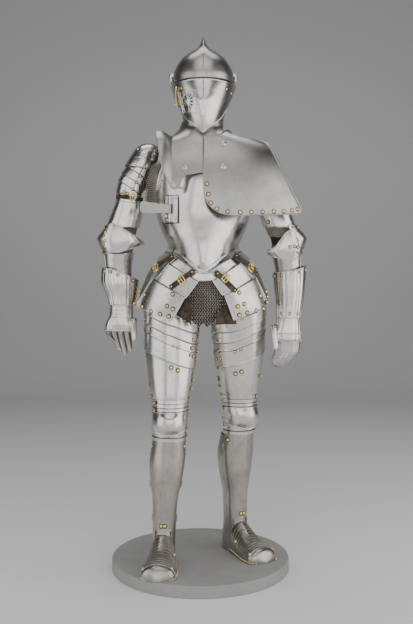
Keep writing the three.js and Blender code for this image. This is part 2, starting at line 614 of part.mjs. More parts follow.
function addHips() {
  const fauldBottom = edge([-100, 1028], [-60, 1016], [-30, 975], [-12, 952], [0, HEIGHT.fauld], [12, 952], [30, 975],
    [60, 1016], [100, 1028]);
  const fauldTop = edge([-100, 1056], [-60, 1050], [-40, 1030], [-20, 998], [0, 977], [20, 998], [40, 1030],
    [60, 1050], [100, 1056]);
  const fauld = bandPlate(HIPS, {
    from: -98, to: 98, bottom: fauldBottom, top: fauldTop, rows: 2, step: 12.5, lift: -8, lower: -4.4,
  });
  addPiece(suit, "fauld", fauld, FINISH.bright);
  for (const [side, plates] of [["right", RIGHT_TASSETS], ["left", LEFT_TASSETS]]) {
    for (const [part, corners] of Object.entries(plates)) {
      const rows = part === "upper" ? 2 : 3;
      const plate = cornerPlate(HIPS, { corners, lift: TASSET_LIFT[part], crown: 3, across: 6, rows });
      addPiece(suit, `tasset_${side}_${part}`, plate, FINISH.bright);
    }
  }
  for (const [side, sign] of [["right", -1], ["left", 1]]) {
    const from = sign < 0 ? -120 : 40;
    const top = sign < 0 ? edge([-118, 1030], [-80, 1040], [-38, 1000]) : edge([38, 1000], [80, 1040], [118, 1030]);
    const hem = sign < 0 ? edge([-118, 900], [-80, 862], [-38, 868]) : edge([38, 876], [80, 886], [118, 912]);
    const plate = bandPlate(HIPS, { from, to: from + 80, bottom: hem, top, rows: 4, step: 20, lift: -10, lower: -10 });
    addPiece(suit, `tasset_${side}_side`, plate, FINISH.dark);
  }
  const culet = bandPlate(HIPS, {
    from: 100, to: 260, bottom: 905, top: 1052, step: 20, profile: lapped(3, LAP).map(([t, rise]) => [t, rise - 7]),
  });
  addPiece(suit, "culet", culet, FINISH.dark);
  for (const [name, { from, to }] of Object.entries(STRAPS)) {
    const strap = cornerPlate(HIPS, {
      corners: stripCorners(from, to, STRAP.width), lift: STRAP.lift, across: 4, rows: 1, wall: STRAP.thick,
    });
    const middle = { x: lerp(from.x, to.x, STRAP.buckle), z: lerp(from.z, to.z, STRAP.buckle) };
    const near = { x: lerp(from.x, to.x, STRAP.buckle - 0.14), z: lerp(from.z, to.z, STRAP.buckle - 0.14) };
    const buckle = cornerPlate(HIPS, {
      corners: stripCorners(near, middle, STRAP.width + 8), lift: STRAP.lift + 1.6, across: 1, rows: 1, wall: 3,
    });
    addPiece(suit, `strap_${name}`, joined(strap, buckle), FINISH.leather);
  }
  const skirt = bandPlate(HIPS, {
    from: -70, to: 70, step: 14, rows: 4, lift: -22, lower: -34, wall: MAIL_WALL,
    top: edge([-70, 985], [-30, 968], [0, 962], [30, 968], [70, 985]),
    bottom: edge([-70, 905], [-40, 862], [-24, 838], [-8, 790], [0, 806], [8, 790], [24, 845], [40, 868], [70, 905]),
  });
  addPiece(suit, "mail_skirt", skirt, FINISH.mail);
}

// A leg's bone: the centre line (x, y) at each height, and how far the leg is turned out.
const LEGS = {
  right: {
    sign: -1, turn: -4,
    bone: [
      { z: 850, x: -108, y: -14 }, { z: 660, x: -111, y: -48 }, { z: 472, x: -112, y: -84 },
      { z: 300, x: -124, y: -92 }, { z: 90, x: -132, y: -98 }, { z: 0, x: -133, y: -98 },
    ],
  },
  left: {
    sign: 1, turn: 32,
    bone: [
      { z: 850, x: 118, y: 4 }, { z: 660, x: 124, y: 18 }, { z: 472, x: 124, y: 34 },
      { z: 300, x: 114, y: 44 }, { z: 90, x: 112, y: 48 }, { z: 0, x: 112, y: 48 },
    ],
  },
};
// Sections of a leg about its bone
const LEG_ROWS = [
  { z: 20, half: 39, front: 46, back: 62 },
  { z: 60, half: 38, front: 44, back: 58 },
  { z: 100, half: 39, front: 45, back: 50 },
  { z: 135, half: 40, front: 44, back: 48, ridge: 2 },
  { z: 200, half: 42, front: 45, back: 54, ridge: 3 },
  { z: 270, half: 53, front: 50, back: 72, ridge: 3 },
  { z: 340, half: 60, front: 53, back: 80, ridge: 3 },
  { z: 400, half: 57, front: 53, back: 68, ridge: 2 },
  { z: 440, half: 55, front: 56, back: 58 },
  { z: 472, half: 55, front: 60, back: 56 },
  { z: 520, half: 60, front: 62, back: 60 },
  { z: 560, half: 71, front: 68, back: 66, ridge: 3 },
  { z: 620, half: 81, front: 76, back: 76, ridge: 4 },
  { z: 700, half: 91, front: 88, back: 86, ridge: 5 },
  { z: 780, half: 96, front: 96, back: 94, ridge: 5 },
  { z: 850, half: 98, front: 102, back: 98, ridge: 4 },
];

function legForm({ bone, turn }) {
  const straight = makeForm(LEG_ROWS);
  const boneX = curveThrough(bone, "z", "x");
  const boneY = curveThrough(bone, "z", "y");
  const upright = new THREE.Vector3(0, 0, 1);
  const form = lifted((angle, z) => {
    const point = straight(angle, z).applyAxisAngle(upright, turn * DEGREE);
    return point.add(new THREE.Vector3(boneX(z), boneY(z), 0));
  });
  return form;
}

// The knee cop swells the leg's form into a rounded cup.
function cupRise(angle, z, centre, high, wide, rise) {
  const up = (z - centre) / high;
  const over = angle / wide;
  return rise * Math.exp(-(up * up + over * over));
}

// The knee: a cup between two lapped lames above and two below, in one stepped wall.
const KNEE_ROWS = [
  { z: 410, lift: 3 }, { z: 428, lift: 2.4 }, { z: 430, lift: 4.4 }, { z: 446, lift: 3.4 }, { z: 458, lift: 3 },
  { z: 472, lift: 2.6 }, { z: 486, lift: 2.6 }, { z: 499, lift: 2.6 }, { z: 511, lift: 2.8 }, { z: 513, lift: 0.6 },
  { z: 527, lift: 1.4 }, { z: 529, lift: -0.4 }, { z: 546, lift: 0.6 },
];
function kneePlate(form) {
  return cutPlate(form, {
    s: stations(-100, 100, 20),
    t: KNEE_ROWS.map((row) => row.z),
    map: (angle, z) => [angle, z],
    lift: (angle, z) => {
      const cup = z > 429 && z < 512 ? cupRise(angle, z, 472, 26, 46, 24) : 0;
      return KNEE_ROWS.find((row) => row.z === z).lift + cup;
    },
  });
}

// The greave's lower edge: low beside the heel and arched over the instep
const ANKLE = edge([-88, 3], [-66, 5], [-44, 114], [0, 118], [44, 114], [66, 5], [88, 3]);

// A sabaton: sections along the foot, from the heel to the toe, each an arch on the sole.
const FOOT_ROWS = [
  { along: -64, half: 24, high: 62 }, { along: -50, half: 36, high: 80 }, { along: -20, half: 41, high: 112 },
  { along: 30, half: 43, high: 108 }, { along: 60, half: 46, high: 88 }, { along: 95, half: 52, high: 66 },
  { along: 130, half: 57, high: 52 }, { along: 160, half: 55, high: 45 }, { along: 180, half: 44, high: 37 },
  { along: 192, half: 26, high: 26 },
];

function footForm({ bone, turn }) {
  const half = curveThrough(FOOT_ROWS, "along", "half");
  const high = curveThrough(FOOT_ROWS, "along", "high");
  const sole = bone[bone.length - 1];
  const upright = new THREE.Vector3(0, 0, 1);
  return lifted((angle, along) => {
    const wide = half(along) * Math.sin(angle * DEGREE);
    const up = high(along) * Math.max(Math.cos(angle * DEGREE), 0) ** 0.75;
    const point = new THREE.Vector3(wide, -along, up + SOLE).applyAxisAngle(upright, turn * DEGREE);
    return point.add(new THREE.Vector3(sole.x, sole.y, 0));
  }, 0.5, -1);
}

function addLeg(side) {
  const leg = new THREE.Group();
  suit.add(leg);
  const spec = LEGS[side];
  const form = legForm(spec);
  const out = spec.sign;
  // Edge lines run from the outer side of the thigh down to the inner side.
  const slant = (outer, inner) =>
    edge([-120 * out, inner - 4], [-60 * out, inner], [0, (outer + inner) / 2 - 3], [70 * out, outer], [120 * out, outer + 4]);
  const strip = (name, high, low, options) => {
    const [from, to] = options.span ?? [-112, 112];
    const plate = bandPlate(form, { from, to, top: high, bottom: low, step: 20, ...options });
    addPiece(leg, `${side}_${name}`, plate, options.finish ?? FINISH.bright);
  };
  const rim = slant(870, 806);
  const second = slant(806, 734);
  const third = slant(712, 652);
  const above = (line, rise) => (angle) => line(angle) + rise;
  strip("thigh_top", rim, second, { profile: [[0, 0.8], [0.52, -1], [0.56, 1.4], [1, 0]] });
  strip("thigh_upper", above(second, 9), third, { rows: 4, lift: -LAP - 0.4, lower: 1 });
  strip("thigh_main", above(third, 10), 536, { rows: 4, lift: -LAP - 0.8, lower: -LAP - 0.6 });
  addPiece(leg, `${side}_knee`, kneePlate(form), FINISH.bright);
  strip("greave_front", 416, ANKLE, {
    rows: 6, lift: -0.2, lower: -0.2, span: [-88, 88], step: 22, finish: FINISH.dark,
  });
  const back = bandPlate(form, { from: 89, to: 271, top: 404, bottom: 3, rows: 6, step: 26, lift: -0.2, lower: -0.2 });
  addPiece(leg, `${side}_greave_back`, back, FINISH.dark);
  const foot = footForm(spec);
  const lames = cutPlate(foot, {
    s: stations(-90, 90, 30), t: even(7), map: (angle, t) => [angle, lerp(172, 30, t)],
  });
  addPiece(leg, `${side}_sabaton`, lames, FINISH.dark);
  const cap = cutPlate(foot, {
    s: stations(-90, 90, 30), t: [0, 0.25, 0.6, 1], map: (angle, t) => [angle, lerp(191, 160, t)], lift: () => 2.3,
  });
  addPiece(leg, `${side}_toe_cap`, cap, FINISH.bright);
}

// Arms: sections in the suit's frame, from the wrist up to the shoulder
const ARM_ROWS = {
  right: [
    { z: 955, x: -291, half: 43, front: 42, back: 42 }, { z: 1000, x: -295, half: 48, front: 47, back: 46 },
    { z: 1040, x: -293, half: 54, front: 54, back: 50 }, { z: 1087, x: -288, half: 57, front: 56, back: 56 },
    { z: 1135, x: -278, half: 59, front: 56, back: 56 }, { z: 1175, x: -266, half: 57, front: 55, back: 55 },
    { z: 1225, x: -257, half: 49, front: 53, back: 53 }, { z: 1255, x: -252, half: 51, front: 56, back: 56 },
    { z: 1300, x: -237, half: 56, front: 62, back: 62 }, { z: 1340, x: -217, half: 55, front: 64, back: 64 },
    { z: 1375, x: -203, half: 50, front: 60, back: 60 }, { z: 1400, x: -194, half: 42, front: 48, back: 48 },
    { z: 1413, x: -192, half: 28, front: 32, back: 32 }, { z: 1419, x: -192, half: 14, front: 16, back: 16 },
  ],
  left: [
    { z: 960, x: 296, half: 44, front: 43, back: 43 }, { z: 1000, x: 292, half: 48, front: 47, back: 46 },
    { z: 1040, x: 287, half: 54, front: 53, back: 50 }, { z: 1087, x: 279, half: 56, front: 56, back: 56 },
    { z: 1120, x: 268, half: 59, front: 56, back: 56 }, { z: 1170, x: 251, half: 59, front: 56, back: 56 },
    { z: 1225, x: 240, half: 52, front: 53, back: 53 }, { z: 1255, x: 234, half: 52, front: 56, back: 56 },
    { z: 1300, x: 222, half: 56, front: 62, back: 62 }, { z: 1340, x: 208, half: 55, front: 62, back: 62 },
    { z: 1375, x: 197, half: 50, front: 54, back: 60 }, { z: 1398, x: 192, half: 40, front: 42, back: 48 },
    { z: 1409, x: 190, half: 26, front: 28, back: 32 }, { z: 1414, x: 190, half: 13, front: 14, back: 16 },
  ],
};
// Gauntlet sections, from the finger tips up to the cuff's mouth
const CUFF_ROWS = {
  right: [
    { z: 768, x: -284, y: -26, half: 55, front: 24, back: 22 }, { z: 790, x: -286, y: -26, half: 54, front: 27, back: 25 },
    { z: 811, x: -286, y: -24, half: 47, front: 29, back: 28 }, { z: 836, x: -282, y: -20, half: 43, front: 32, back: 32 },
    { z: 860, x: -282, y: -16, half: 44, front: 37, back: 37 }, { z: 890, x: -283, y: -10, half: 50, front: 44, back: 46 },
    { z: 916, x: -287, y: -6, half: 58, front: 51, back: 54 }, { z: 943, x: -290, y: -2, half: 65, front: 57, back: 60 },
    { z: 990, x: -291, half: 61, front: 58, back: 60 },
  ],
  left: [
    { z: 736, x: 288, y: -30, half: 49, front: 27, back: 24 }, { z: 765, x: 287, y: -28, half: 51, front: 29, back: 26 },
    { z: 790, x: 290, y: -24, half: 46, front: 31, back: 30 }, { z: 817, x: 293, y: -20, half: 43, front: 34, back: 34 },
    { z: 855, x: 296, y: -14, half: 46, front: 40, back: 40 }, { z: 906, x: 298, y: -8, half: 52, front: 48, back: 48 },
    { z: 957, x: 298, y: -2, half: 57, front: 55, back: 55 }, { z: 995, x: 298, half: 59, front: 58, back: 58 },
  ],
};
// Fingers of the right gauntlet: knuckle and tip, side by side
const FINGERS = [
  { x: -327, z: 770, tipX: -304, tipZ: 734, half: 10 }, { x: -306, z: 770, tipX: -285, tipZ: 708, half: 12 },
  { x: -284, z: 770, tipX: -266, tipZ: 692, half: 12.5 }, { x: -262, z: 770, tipX: -249, tipZ: 704, half: 12 },
];

// The wing of a couter: a heart-shaped plate across the bend of the arm. x from the tip side, with its two edges
const WINGS = {
  right: [
    { x: -338, bottom: 1066, top: 1102 }, { x: -328, bottom: 1050, top: 1122 }, { x: -312, bottom: 1042, top: 1140 },
    { x: -290, bottom: 1042, top: 1134 }, { x: -265, bottom: 1048, top: 1118 }, { x: -240, bottom: 1056, top: 1102 },
    { x: -220, bottom: 1064, top: 1088 }, { x: -206, bottom: 1070, top: 1079 },
  ],
  left: [
    { x: 222, bottom: 1034, top: 1050 }, { x: 240, bottom: 1026, top: 1056 }, { x: 262, bottom: 1020, top: 1084 },
    { x: 280, bottom: 1017, top: 1108 }, { x: 298, bottom: 1015, top: 1116 }, { x: 312, bottom: 1018, top: 1104 },
    { x: 324, bottom: 1034, top: 1070 },
  ],
};

// The mail sleeve lies inside the plates, and fills out towards the body at the armpit.
const MAIL_TUCK = 10.5;
const SLEEVE_ROWS = [
  { z: 1006, fill: 0 }, { z: 1082, fill: 0 }, { z: 1160, fill: 0 }, { z: 1249, fill: 0 }, { z: 1285, fill: 28 },
  { z: 1318, fill: 9 }, { z: 1385, fill: 0 },
];
const POST = { radius: 4, foot: 47 };
// The wing stands forward of the arm on a form of its own.
function wingForm(arm) {
  return lifted((x, z) => {
    const share = (x - arm.centre(z)) / (arm.half(z) * 1.5);
    const depth = 78 * Math.sqrt(Math.max(1 - share * share, 0.02));
    return new THREE.Vector3(x, -depth, z);
  });
}

function addCouter(group, side, arm) {
  const sign = side === "right" ? -1 : 1;
  const [from, to] = sign < 0 ? [-212, -26] : [26, 212];
  const cup = cutPlate(arm, {
    s: stations(from, to, 22),
    t: even(6),
    map: (angle, t) => [angle, lerp(1040, 1134, t)],
    lift: (angle, t) => 3 + cupRise(angle - sign * 96, lerp(1040, 1134, t), 1087, 26, 42, 24),
  });
  const form = wingForm(arm);
  const columns = WINGS[side];
  const low = edge(...columns.map((c) => [c.x, c.bottom]));
  const high = edge(...columns.map((c) => [c.x, c.top]));
  const wing = cutPlate(form, {
    s: columns.map((c) => c.x),
    t: even(4),
    map: (x, t) => [x, lerp(low(x), high(x), t)],
    lift: (x, t) => 6 * Math.sin(Math.PI * t),
  });
  const rivet = form(sign * 311, 1080);
  const reach = -rivet.y + 4 - POST.foot;
  const post = bar("y", POST.radius, reach, { x: rivet.x, y: -POST.foot - reach / 2, z: rivet.z }, 10);
  addPiece(group, `${side}_couter`, joined(cup, wing, post), FINISH.bright);
}

function addArm(side) {
  const arm = new THREE.Group();
  suit.add(arm);
  const form = makeForm(ARM_ROWS[side]);
  const out = side === "right" ? -1 : 1;
  const turned = (from, to) => (out < 0 ? [from, to] : [-to, -from]);
  const tilt = (z, fall) => (angle) => z + fall * Math.sin(((out * angle) / 180) * Math.PI);
  const [from, to] = turned(-205, 72);
  const inward = (angle) => Math.max(Math.cos((angle + 90 * out) * DEGREE), 0) ** 4;
  const sleeve = cutPlate(form, {
    s: stations(-180, 180, 36).slice(0, -1),
    t: SLEEVE_ROWS,
    map: (angle, { z }) => [angle, z],
    lift: (angle, { fill }) => fill * inward(angle) - MAIL_TUCK,
    wall: MAIL_WALL,
    round: true,
  });
  addPiece(arm, `${side}_mail_sleeve`, sleeve, FINISH.mail);
  const spaudler = bandPlate(form, { from, to, bottom: tilt(1334, 10), top: 1417.5, rows: 4, step: 26, lower: 1.6 });
  addPiece(arm, `${side}_spaudler`, spaudler, FINISH.satin);
  const lameSpan = turned(-200, 38);
  const lames = bandPlate(form, {
    from: lameSpan[0], to: lameSpan[1], bottom: tilt(1237, 15), top: tilt(1344, 12), step: 26,
    profile: lapped(4, LAP).map(([t, rise]) => [t, rise - LAP - 0.6]),
  });
  addPiece(arm, `${side}_shoulder_lames`, lames, FINISH.satin);
  const cannon = bandPlate(form, {
    from: -180, to: 180, bottom: 1128, top: tilt(1240, 6), rows: 3, step: 24, lift: -4, lower: -1,
  });
  addPiece(arm, `${side}_upper_cannon`, cannon, FINISH.bright);
  addCouter(arm, side, form);
  const lower = bandPlate(form, { from: -180, to: 180, bottom: 958, top: 1036, rows: 2, step: 24, lift: 0, lower: 0 });
  addPiece(arm, `${side}_lower_cannon`, lower, FINISH.bright);
  addGauntlet(arm, side, form);
}

function addGauntlet(arm, side, armForm) {
  const form = makeForm(CUFF_ROWS[side]);
  if (side === "right") {
    const mouth = edge([-180, 962], [-90, 988], [-30, 986], [20, 966], [90, 944], [180, 962]);
    const cuff = bandPlate(form, { from: -180, to: 180, bottom: 862, top: mouth, rows: 4, step: 24 });
    addPiece(arm, "right_cuff", joined(cuff, bolt(form, armForm, -291, 966)), FINISH.satin);
    const hand = bandPlate(form, {
      from: -112, to: 112, bottom: 771, top: 868, step: 28, profile: lapped(5, 1.6).map(([t, rise]) => [t, rise - 4.2]),
    });
    addPiece(arm, "right_hand_lames", joined(hand, thumb({ x: -236, y: -44, z: 812 }, { x: -232, y: -62, z: 738 })), FINISH.satin);
    addPiece(arm, "right_fingers", joined(...FINGERS.map(finger)), FINISH.satin);
    return;
  }
  const cuff = bandPlate(form, {
    from: -180, to: 180, bottom: 818, top: edge([-180, 985], [-90, 968], [0, 978], [90, 994], [180, 985]), rows: 5, step: 24,
  });
  addPiece(arm, "left_cuff", joined(cuff, bolt(form, armForm, 298, 968)), FINISH.bright);
  const hand = bandPlate(form, {
    from: -116, to: 116, bottom: 738, top: 826, rows: 3, step: 24, lift: -4, lower: -1.6,
  });
  addPiece(arm, "left_hand_plate", joined(hand, thumb({ x: 236, y: -44, z: 790 }, { x: 240, y: -60, z: 704 })), FINISH.satin);
  const mitten = makeForm([
    { z: 648, x: 258, y: -44, half: 10, front: 8, back: 6 }, { z: 656, x: 261, y: -43, half: 25, front: 15, back: 10 },
    { z: 678, x: 271, y: -40, half: 37, front: 21, back: 16 }, { z: 703, x: 285, y: -36, half: 43, front: 25, back: 20 },
    { z: 744, x: 288, y: -30, half: 51, front: 29, back: 24 },
  ]);
  const fold = bandPlate(mitten, {
    from: -100, to: 100, bottom: 650, top: 742, step: 20, profile: [[0, 0], [0.3, 1], [0.56, 1.4], [0.6, -1], [0.9, -6.4], [1, -7]],
  });
  addPiece(arm, "left_mitten", fold, FINISH.satin);
}

// A finger: a tapered open channel from knuckle to tip, bent with the hand.
function finger({ x, z, tipX, tipZ, half }) {
  const form = makeForm([
    { z: tipZ, x: tipX, y: -54, half: half * 0.45, front: 7, back: 4 },
    { z: tipZ + 8, x: lerp(tipX, x, 0.1), y: -52, half: half * 0.75, front: 10, back: 7 },
    { z: lerp(tipZ, z, 0.6), x: lerp(tipX, x, 0.6), y: -46, half, front: 13, back: 9 },
    { z: z + 1, x, y: -40, half: half + 0.8, front: 14, back: 9 },
  ]);
  return bandPlate(form, { from: -120, to: 120, bottom: tipZ + 1, top: z, rows: 3, step: 60 });
}

// A thumb: a tapered channel between two places.
function thumb(root, tip) {
  const form = makeForm([
    { z: tip.z, x: tip.x, y: tip.y, half: 6, front: 6, back: 5 },
    { z: tip.z + 10, x: tip.x, y: tip.y + 2, half: 11, front: 10, back: 8 },
    { z: root.z - 12, x: root.x, y: root.y, half: 14, front: 12, back: 12 },
    { z: root.z, x: root.x, y: root.y + 8, half: 12, front: 12, back: 12 },
  ]);
  return bandPlate(form, { from: -140, to: 140, bottom: tip.z + 1, top: root.z, rows: 4, step: 40 });
}

addPlinth();
addHelmet();
addTrunk();
addLanceRest();
addHips();
addLeg("right");
addLeg("left");
addArm("right");
addArm("left");

export default root;
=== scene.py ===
"""Dresses the frame of a hollow suit of plate armour on a round plinth.

Every plate is a thin wall on a fine grid, cut from the same tables of sections as the solids. Lengths are in
millimetres in the suit's own frame: +Z up, the front towards -Y and the wearer's right hand towards -X. They
turn into metres in the row frame when a mesh is made.
"""

from __future__ import annotations

import json
import logging
import math
from collections.abc import Callable, Iterable, Sequence
from dataclasses import dataclass, field
from enum import Enum

import bpy
import numpy as np
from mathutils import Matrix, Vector

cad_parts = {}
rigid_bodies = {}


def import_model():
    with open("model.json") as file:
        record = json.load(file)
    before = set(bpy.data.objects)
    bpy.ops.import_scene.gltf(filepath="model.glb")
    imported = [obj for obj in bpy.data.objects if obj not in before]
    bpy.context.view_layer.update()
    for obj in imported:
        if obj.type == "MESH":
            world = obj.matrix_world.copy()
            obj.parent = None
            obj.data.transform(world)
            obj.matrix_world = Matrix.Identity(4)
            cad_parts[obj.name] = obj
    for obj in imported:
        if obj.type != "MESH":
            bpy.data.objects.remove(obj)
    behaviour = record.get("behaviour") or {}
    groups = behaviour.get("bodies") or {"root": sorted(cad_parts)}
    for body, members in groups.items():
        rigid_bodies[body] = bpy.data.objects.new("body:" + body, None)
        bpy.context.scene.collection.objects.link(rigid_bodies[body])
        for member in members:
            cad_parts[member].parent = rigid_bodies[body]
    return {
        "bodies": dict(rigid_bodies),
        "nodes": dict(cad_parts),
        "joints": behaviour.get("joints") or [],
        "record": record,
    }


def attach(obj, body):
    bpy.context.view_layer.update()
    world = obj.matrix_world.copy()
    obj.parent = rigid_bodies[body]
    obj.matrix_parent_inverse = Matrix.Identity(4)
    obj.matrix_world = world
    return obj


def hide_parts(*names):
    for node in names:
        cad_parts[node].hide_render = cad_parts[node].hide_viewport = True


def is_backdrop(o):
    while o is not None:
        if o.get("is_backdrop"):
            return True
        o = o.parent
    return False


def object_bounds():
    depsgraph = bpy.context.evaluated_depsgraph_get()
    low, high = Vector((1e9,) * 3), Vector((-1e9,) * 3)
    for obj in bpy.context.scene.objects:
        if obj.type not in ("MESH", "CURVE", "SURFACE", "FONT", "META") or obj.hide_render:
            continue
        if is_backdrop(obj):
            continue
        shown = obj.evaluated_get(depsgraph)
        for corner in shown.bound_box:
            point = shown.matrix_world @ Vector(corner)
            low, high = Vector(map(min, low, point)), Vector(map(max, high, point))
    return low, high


LOG = logging.getLogger("armour")
SUIT_AT = np.array([10.0, 20.0, 40.0])
MM = 0.001
WALL = 1.8
MAIL_WALL = 2.6
LAP = 2.5
RIDGE_SPREAD = 13.0
CREASE = math.radians(38)
HEAD_POINTS = 41
HEAD_SIDES = 10
# Shadow discs under rivet heads: their reach beyond the head and their height; dark leather as a painted
# shadow.
SHADOW_DISC_REACH = 1.42
SHADOW_DISC_HEIGHT = 0.9

Array = np.ndarray
Edge = Callable[[Array], Array]


class Curve:
    """A smooth curve through table rows, made of cubic pieces whose slopes never overshoot a row."""

    def __init__(self, places: Sequence[float], values: Sequence[float]) -> None:
        """Stores the rows in rising order.

        Args:
            places: Where each row stands.
            values: The value at each row.
        """
        order = np.argsort(places)
        self.places = np.asarray(places, float)[order]
        self.values = np.asarray(values, float)[order]
        rise = np.diff(self.values) / np.diff(self.places)
        same_way = rise[:-1] * rise[1:] > 0
        total = np.where(same_way, rise[:-1] + rise[1:], 1.0)
        inner = np.where(same_way, 2 * rise[:-1] * rise[1:] / total, 0.0)
        self.slopes = np.concatenate([rise[:1], inner, rise[-1:]])

    def __call__(self, place: Array | float) -> Array:
        """The curve's value at each place; beyond the ends it runs on straight."""
        place = np.asarray(place, float)
        first = np.clip(np.searchsorted(self.places, place) - 1, 0, len(self.places) - 2)
        start, end = self.places[first], self.places[first + 1]
        span = end - start
        t = (place - start) / span
        keep = (1 + 2 * t) * (1 - t) ** 2
        leave = t * (1 - t) ** 2 * span * self.slopes[first]
        reach = t * t * (3 - 2 * t)
        arrive = t * t * (t - 1) * span * self.slopes[first + 1]
        inside = keep * self.values[first] + leave + reach * self.values[first + 1] + arrive
        below = self.values[0] + (place - self.places[0]) * self.slopes[0]
        above = self.values[-1] + (place - self.places[-1]) * self.slopes[-1]
        return np.where(place < self.places[0], below, np.where(place > self.places[-1], above, inside))


def edge(*pairs: tuple[float, float]) -> Curve:
    """An edge line: rows of (place, height) joined by a smooth curve."""
    return Curve([pair[0] for pair in pairs], [pair[1] for pair in pairs])


def level(height: float) -> Edge:
    """An edge line at one height."""
    return lambda place: np.full_like(np.asarray(place, float), height)


def as_edge(line: Edge | float) -> Edge:
    """An edge line from a line or a number."""
    return line if callable(line) else level(line)


def unit(vectors: Array) -> Array:
    """The vectors at length one."""
    return vectors / np.maximum(np.linalg.norm(vectors, axis=-1, keepdims=True), 1e-9)


class Surface:
    """A surface of two numbers (u, v) that can be lifted along its own outward normal."""

    du = 0.5
    dv = 1.0

    def bare(self, u: Array, v: Array) -> Array:
        """The points of the surface."""
        raise NotImplementedError

    def normal(self, u: Array, v: Array) -> Array:
        """The outward normals, from the differences of near points."""
        along = self.bare(u + self.du, v) - self.bare(u - self.du, v)
        up = self.bare(u, v + self.dv) - self.bare(u, v - self.dv)
        return unit(np.cross(along, up))

    def __call__(self, u: Array, v: Array, lift: Array | float = 0.0) -> Array:
        """The points of the surface lifted off it."""
        u, v = np.broadcast_arrays(np.asarray(u, float), np.asarray(v, float))
        return self.bare(u, v) + np.asarray(lift, float)[..., None] * self.normal(u, v)


@dataclass(frozen=True)
class Section:
    """One level section of a form."""

    z: float
    half: float
    front: float
    back: float
    x: float = 0.0
    y: float = 0.0
    ridge: float = 0.0
    pinch: float = 1.0


class Form(Surface):
    """A closed body whose level sections come from a table. Angle 0 is the front and 90 is towards +X."""

    def __init__(self, rows: Sequence[Section]) -> None:
        """Makes a curve of each column."""
        heights = [row.z for row in rows]
        self.centre = Curve(heights, [row.x for row in rows])
        self.middle = Curve(heights, [row.y for row in rows])
        self.half = Curve(heights, [row.half for row in rows])
        self.front = Curve(heights, [row.front for row in rows])
        self.back = Curve(heights, [row.back for row in rows])
        self.ridge = Curve(heights, [row.ridge for row in rows])
        self.pinch = Curve(heights, [row.pinch for row in rows])

    def bare(self, u: Array, v: Array) -> Array:
        """The points: a pinched ellipse at each height, with a creased medial ridge down its front."""
        sine = np.sin(np.radians(u))
        cosine = np.cos(np.radians(u))
        power = self.pinch(v)
        turned = np.abs((u + 180) % 360 - 180)
        keel = self.ridge(v) * np.exp((2 - np.sqrt(turned ** 2 + 4)) / RIDGE_SPREAD)
        depth = np.where(cosine > 0, self.front(v) + keel, self.back(v))
        x = self.centre(v) + self.half(v) * np.sign(sine) * np.abs(sine) ** power
        y = self.middle(v) - depth * np.sign(cosine) * np.abs(cosine) ** power
        return np.stack([x, y, np.broadcast_to(v, x.shape)], axis=-1)

    def angle_at(self, x: Array, z: Array) -> Array:
        """The angle of the front point with this x at this height."""
        share = np.clip((x - self.centre(z)) / self.half(z), -0.999, 0.999)
        return np.degrees(np.arcsin(share))

    def across(self, x: Array, z: Array, lift: Array | float = 0.0) -> Array:
        """The front points at x and z."""
        return self(self.angle_at(x, z), z, lift)


def turned(points: Array, degrees: float) -> Array:
    """The points turned about the vertical."""
    cosine, sine = math.cos(math.radians(degrees)), math.sin(math.radians(degrees))
    x, y, z = np.moveaxis(points, -1, 0)
    return np.stack([x * cosine - y * sine, x * sine + y * cosine, z], axis=-1)


@dataclass
class Shape:
    """Points with the four-sided and three-sided faces between them."""

    points: Array
    quads: Array = field(default_factory=lambda: np.zeros((0, 4), int))
    tris: Array = field(default_factory=lambda: np.zeros((0, 3), int))


def merged(shapes: Iterable[Shape]) -> Shape:
    """Several shapes as one."""
    shapes = [shape for shape in shapes if len(shape.points)]
    starts = np.cumsum([0] + [len(shape.points) for shape in shapes])
    return Shape(
        np.concatenate([shape.points for shape in shapes]),
        np.concatenate([shape.quads + start for shape, start in zip(shapes, starts)]),
        np.concatenate([shape.tris + start for shape, start in zip(shapes, starts)]),
    )


def outward(shape: Shape) -> Shape:
    """The closed shape with its faces turned outwards, by the sign of the volume that they enclose."""
    halves = np.concatenate([shape.quads[:, [0, 1, 2]], shape.quads[:, [0, 2, 3]], shape.tris])
    a, b, c = (shape.points[halves[:, k]] for k in range(3))
    if np.sum(a * np.cross(b, c)) < 0:
        return Shape(shape.points, shape.quads[:, ::-1], shape.tris[:, ::-1])
    return shape


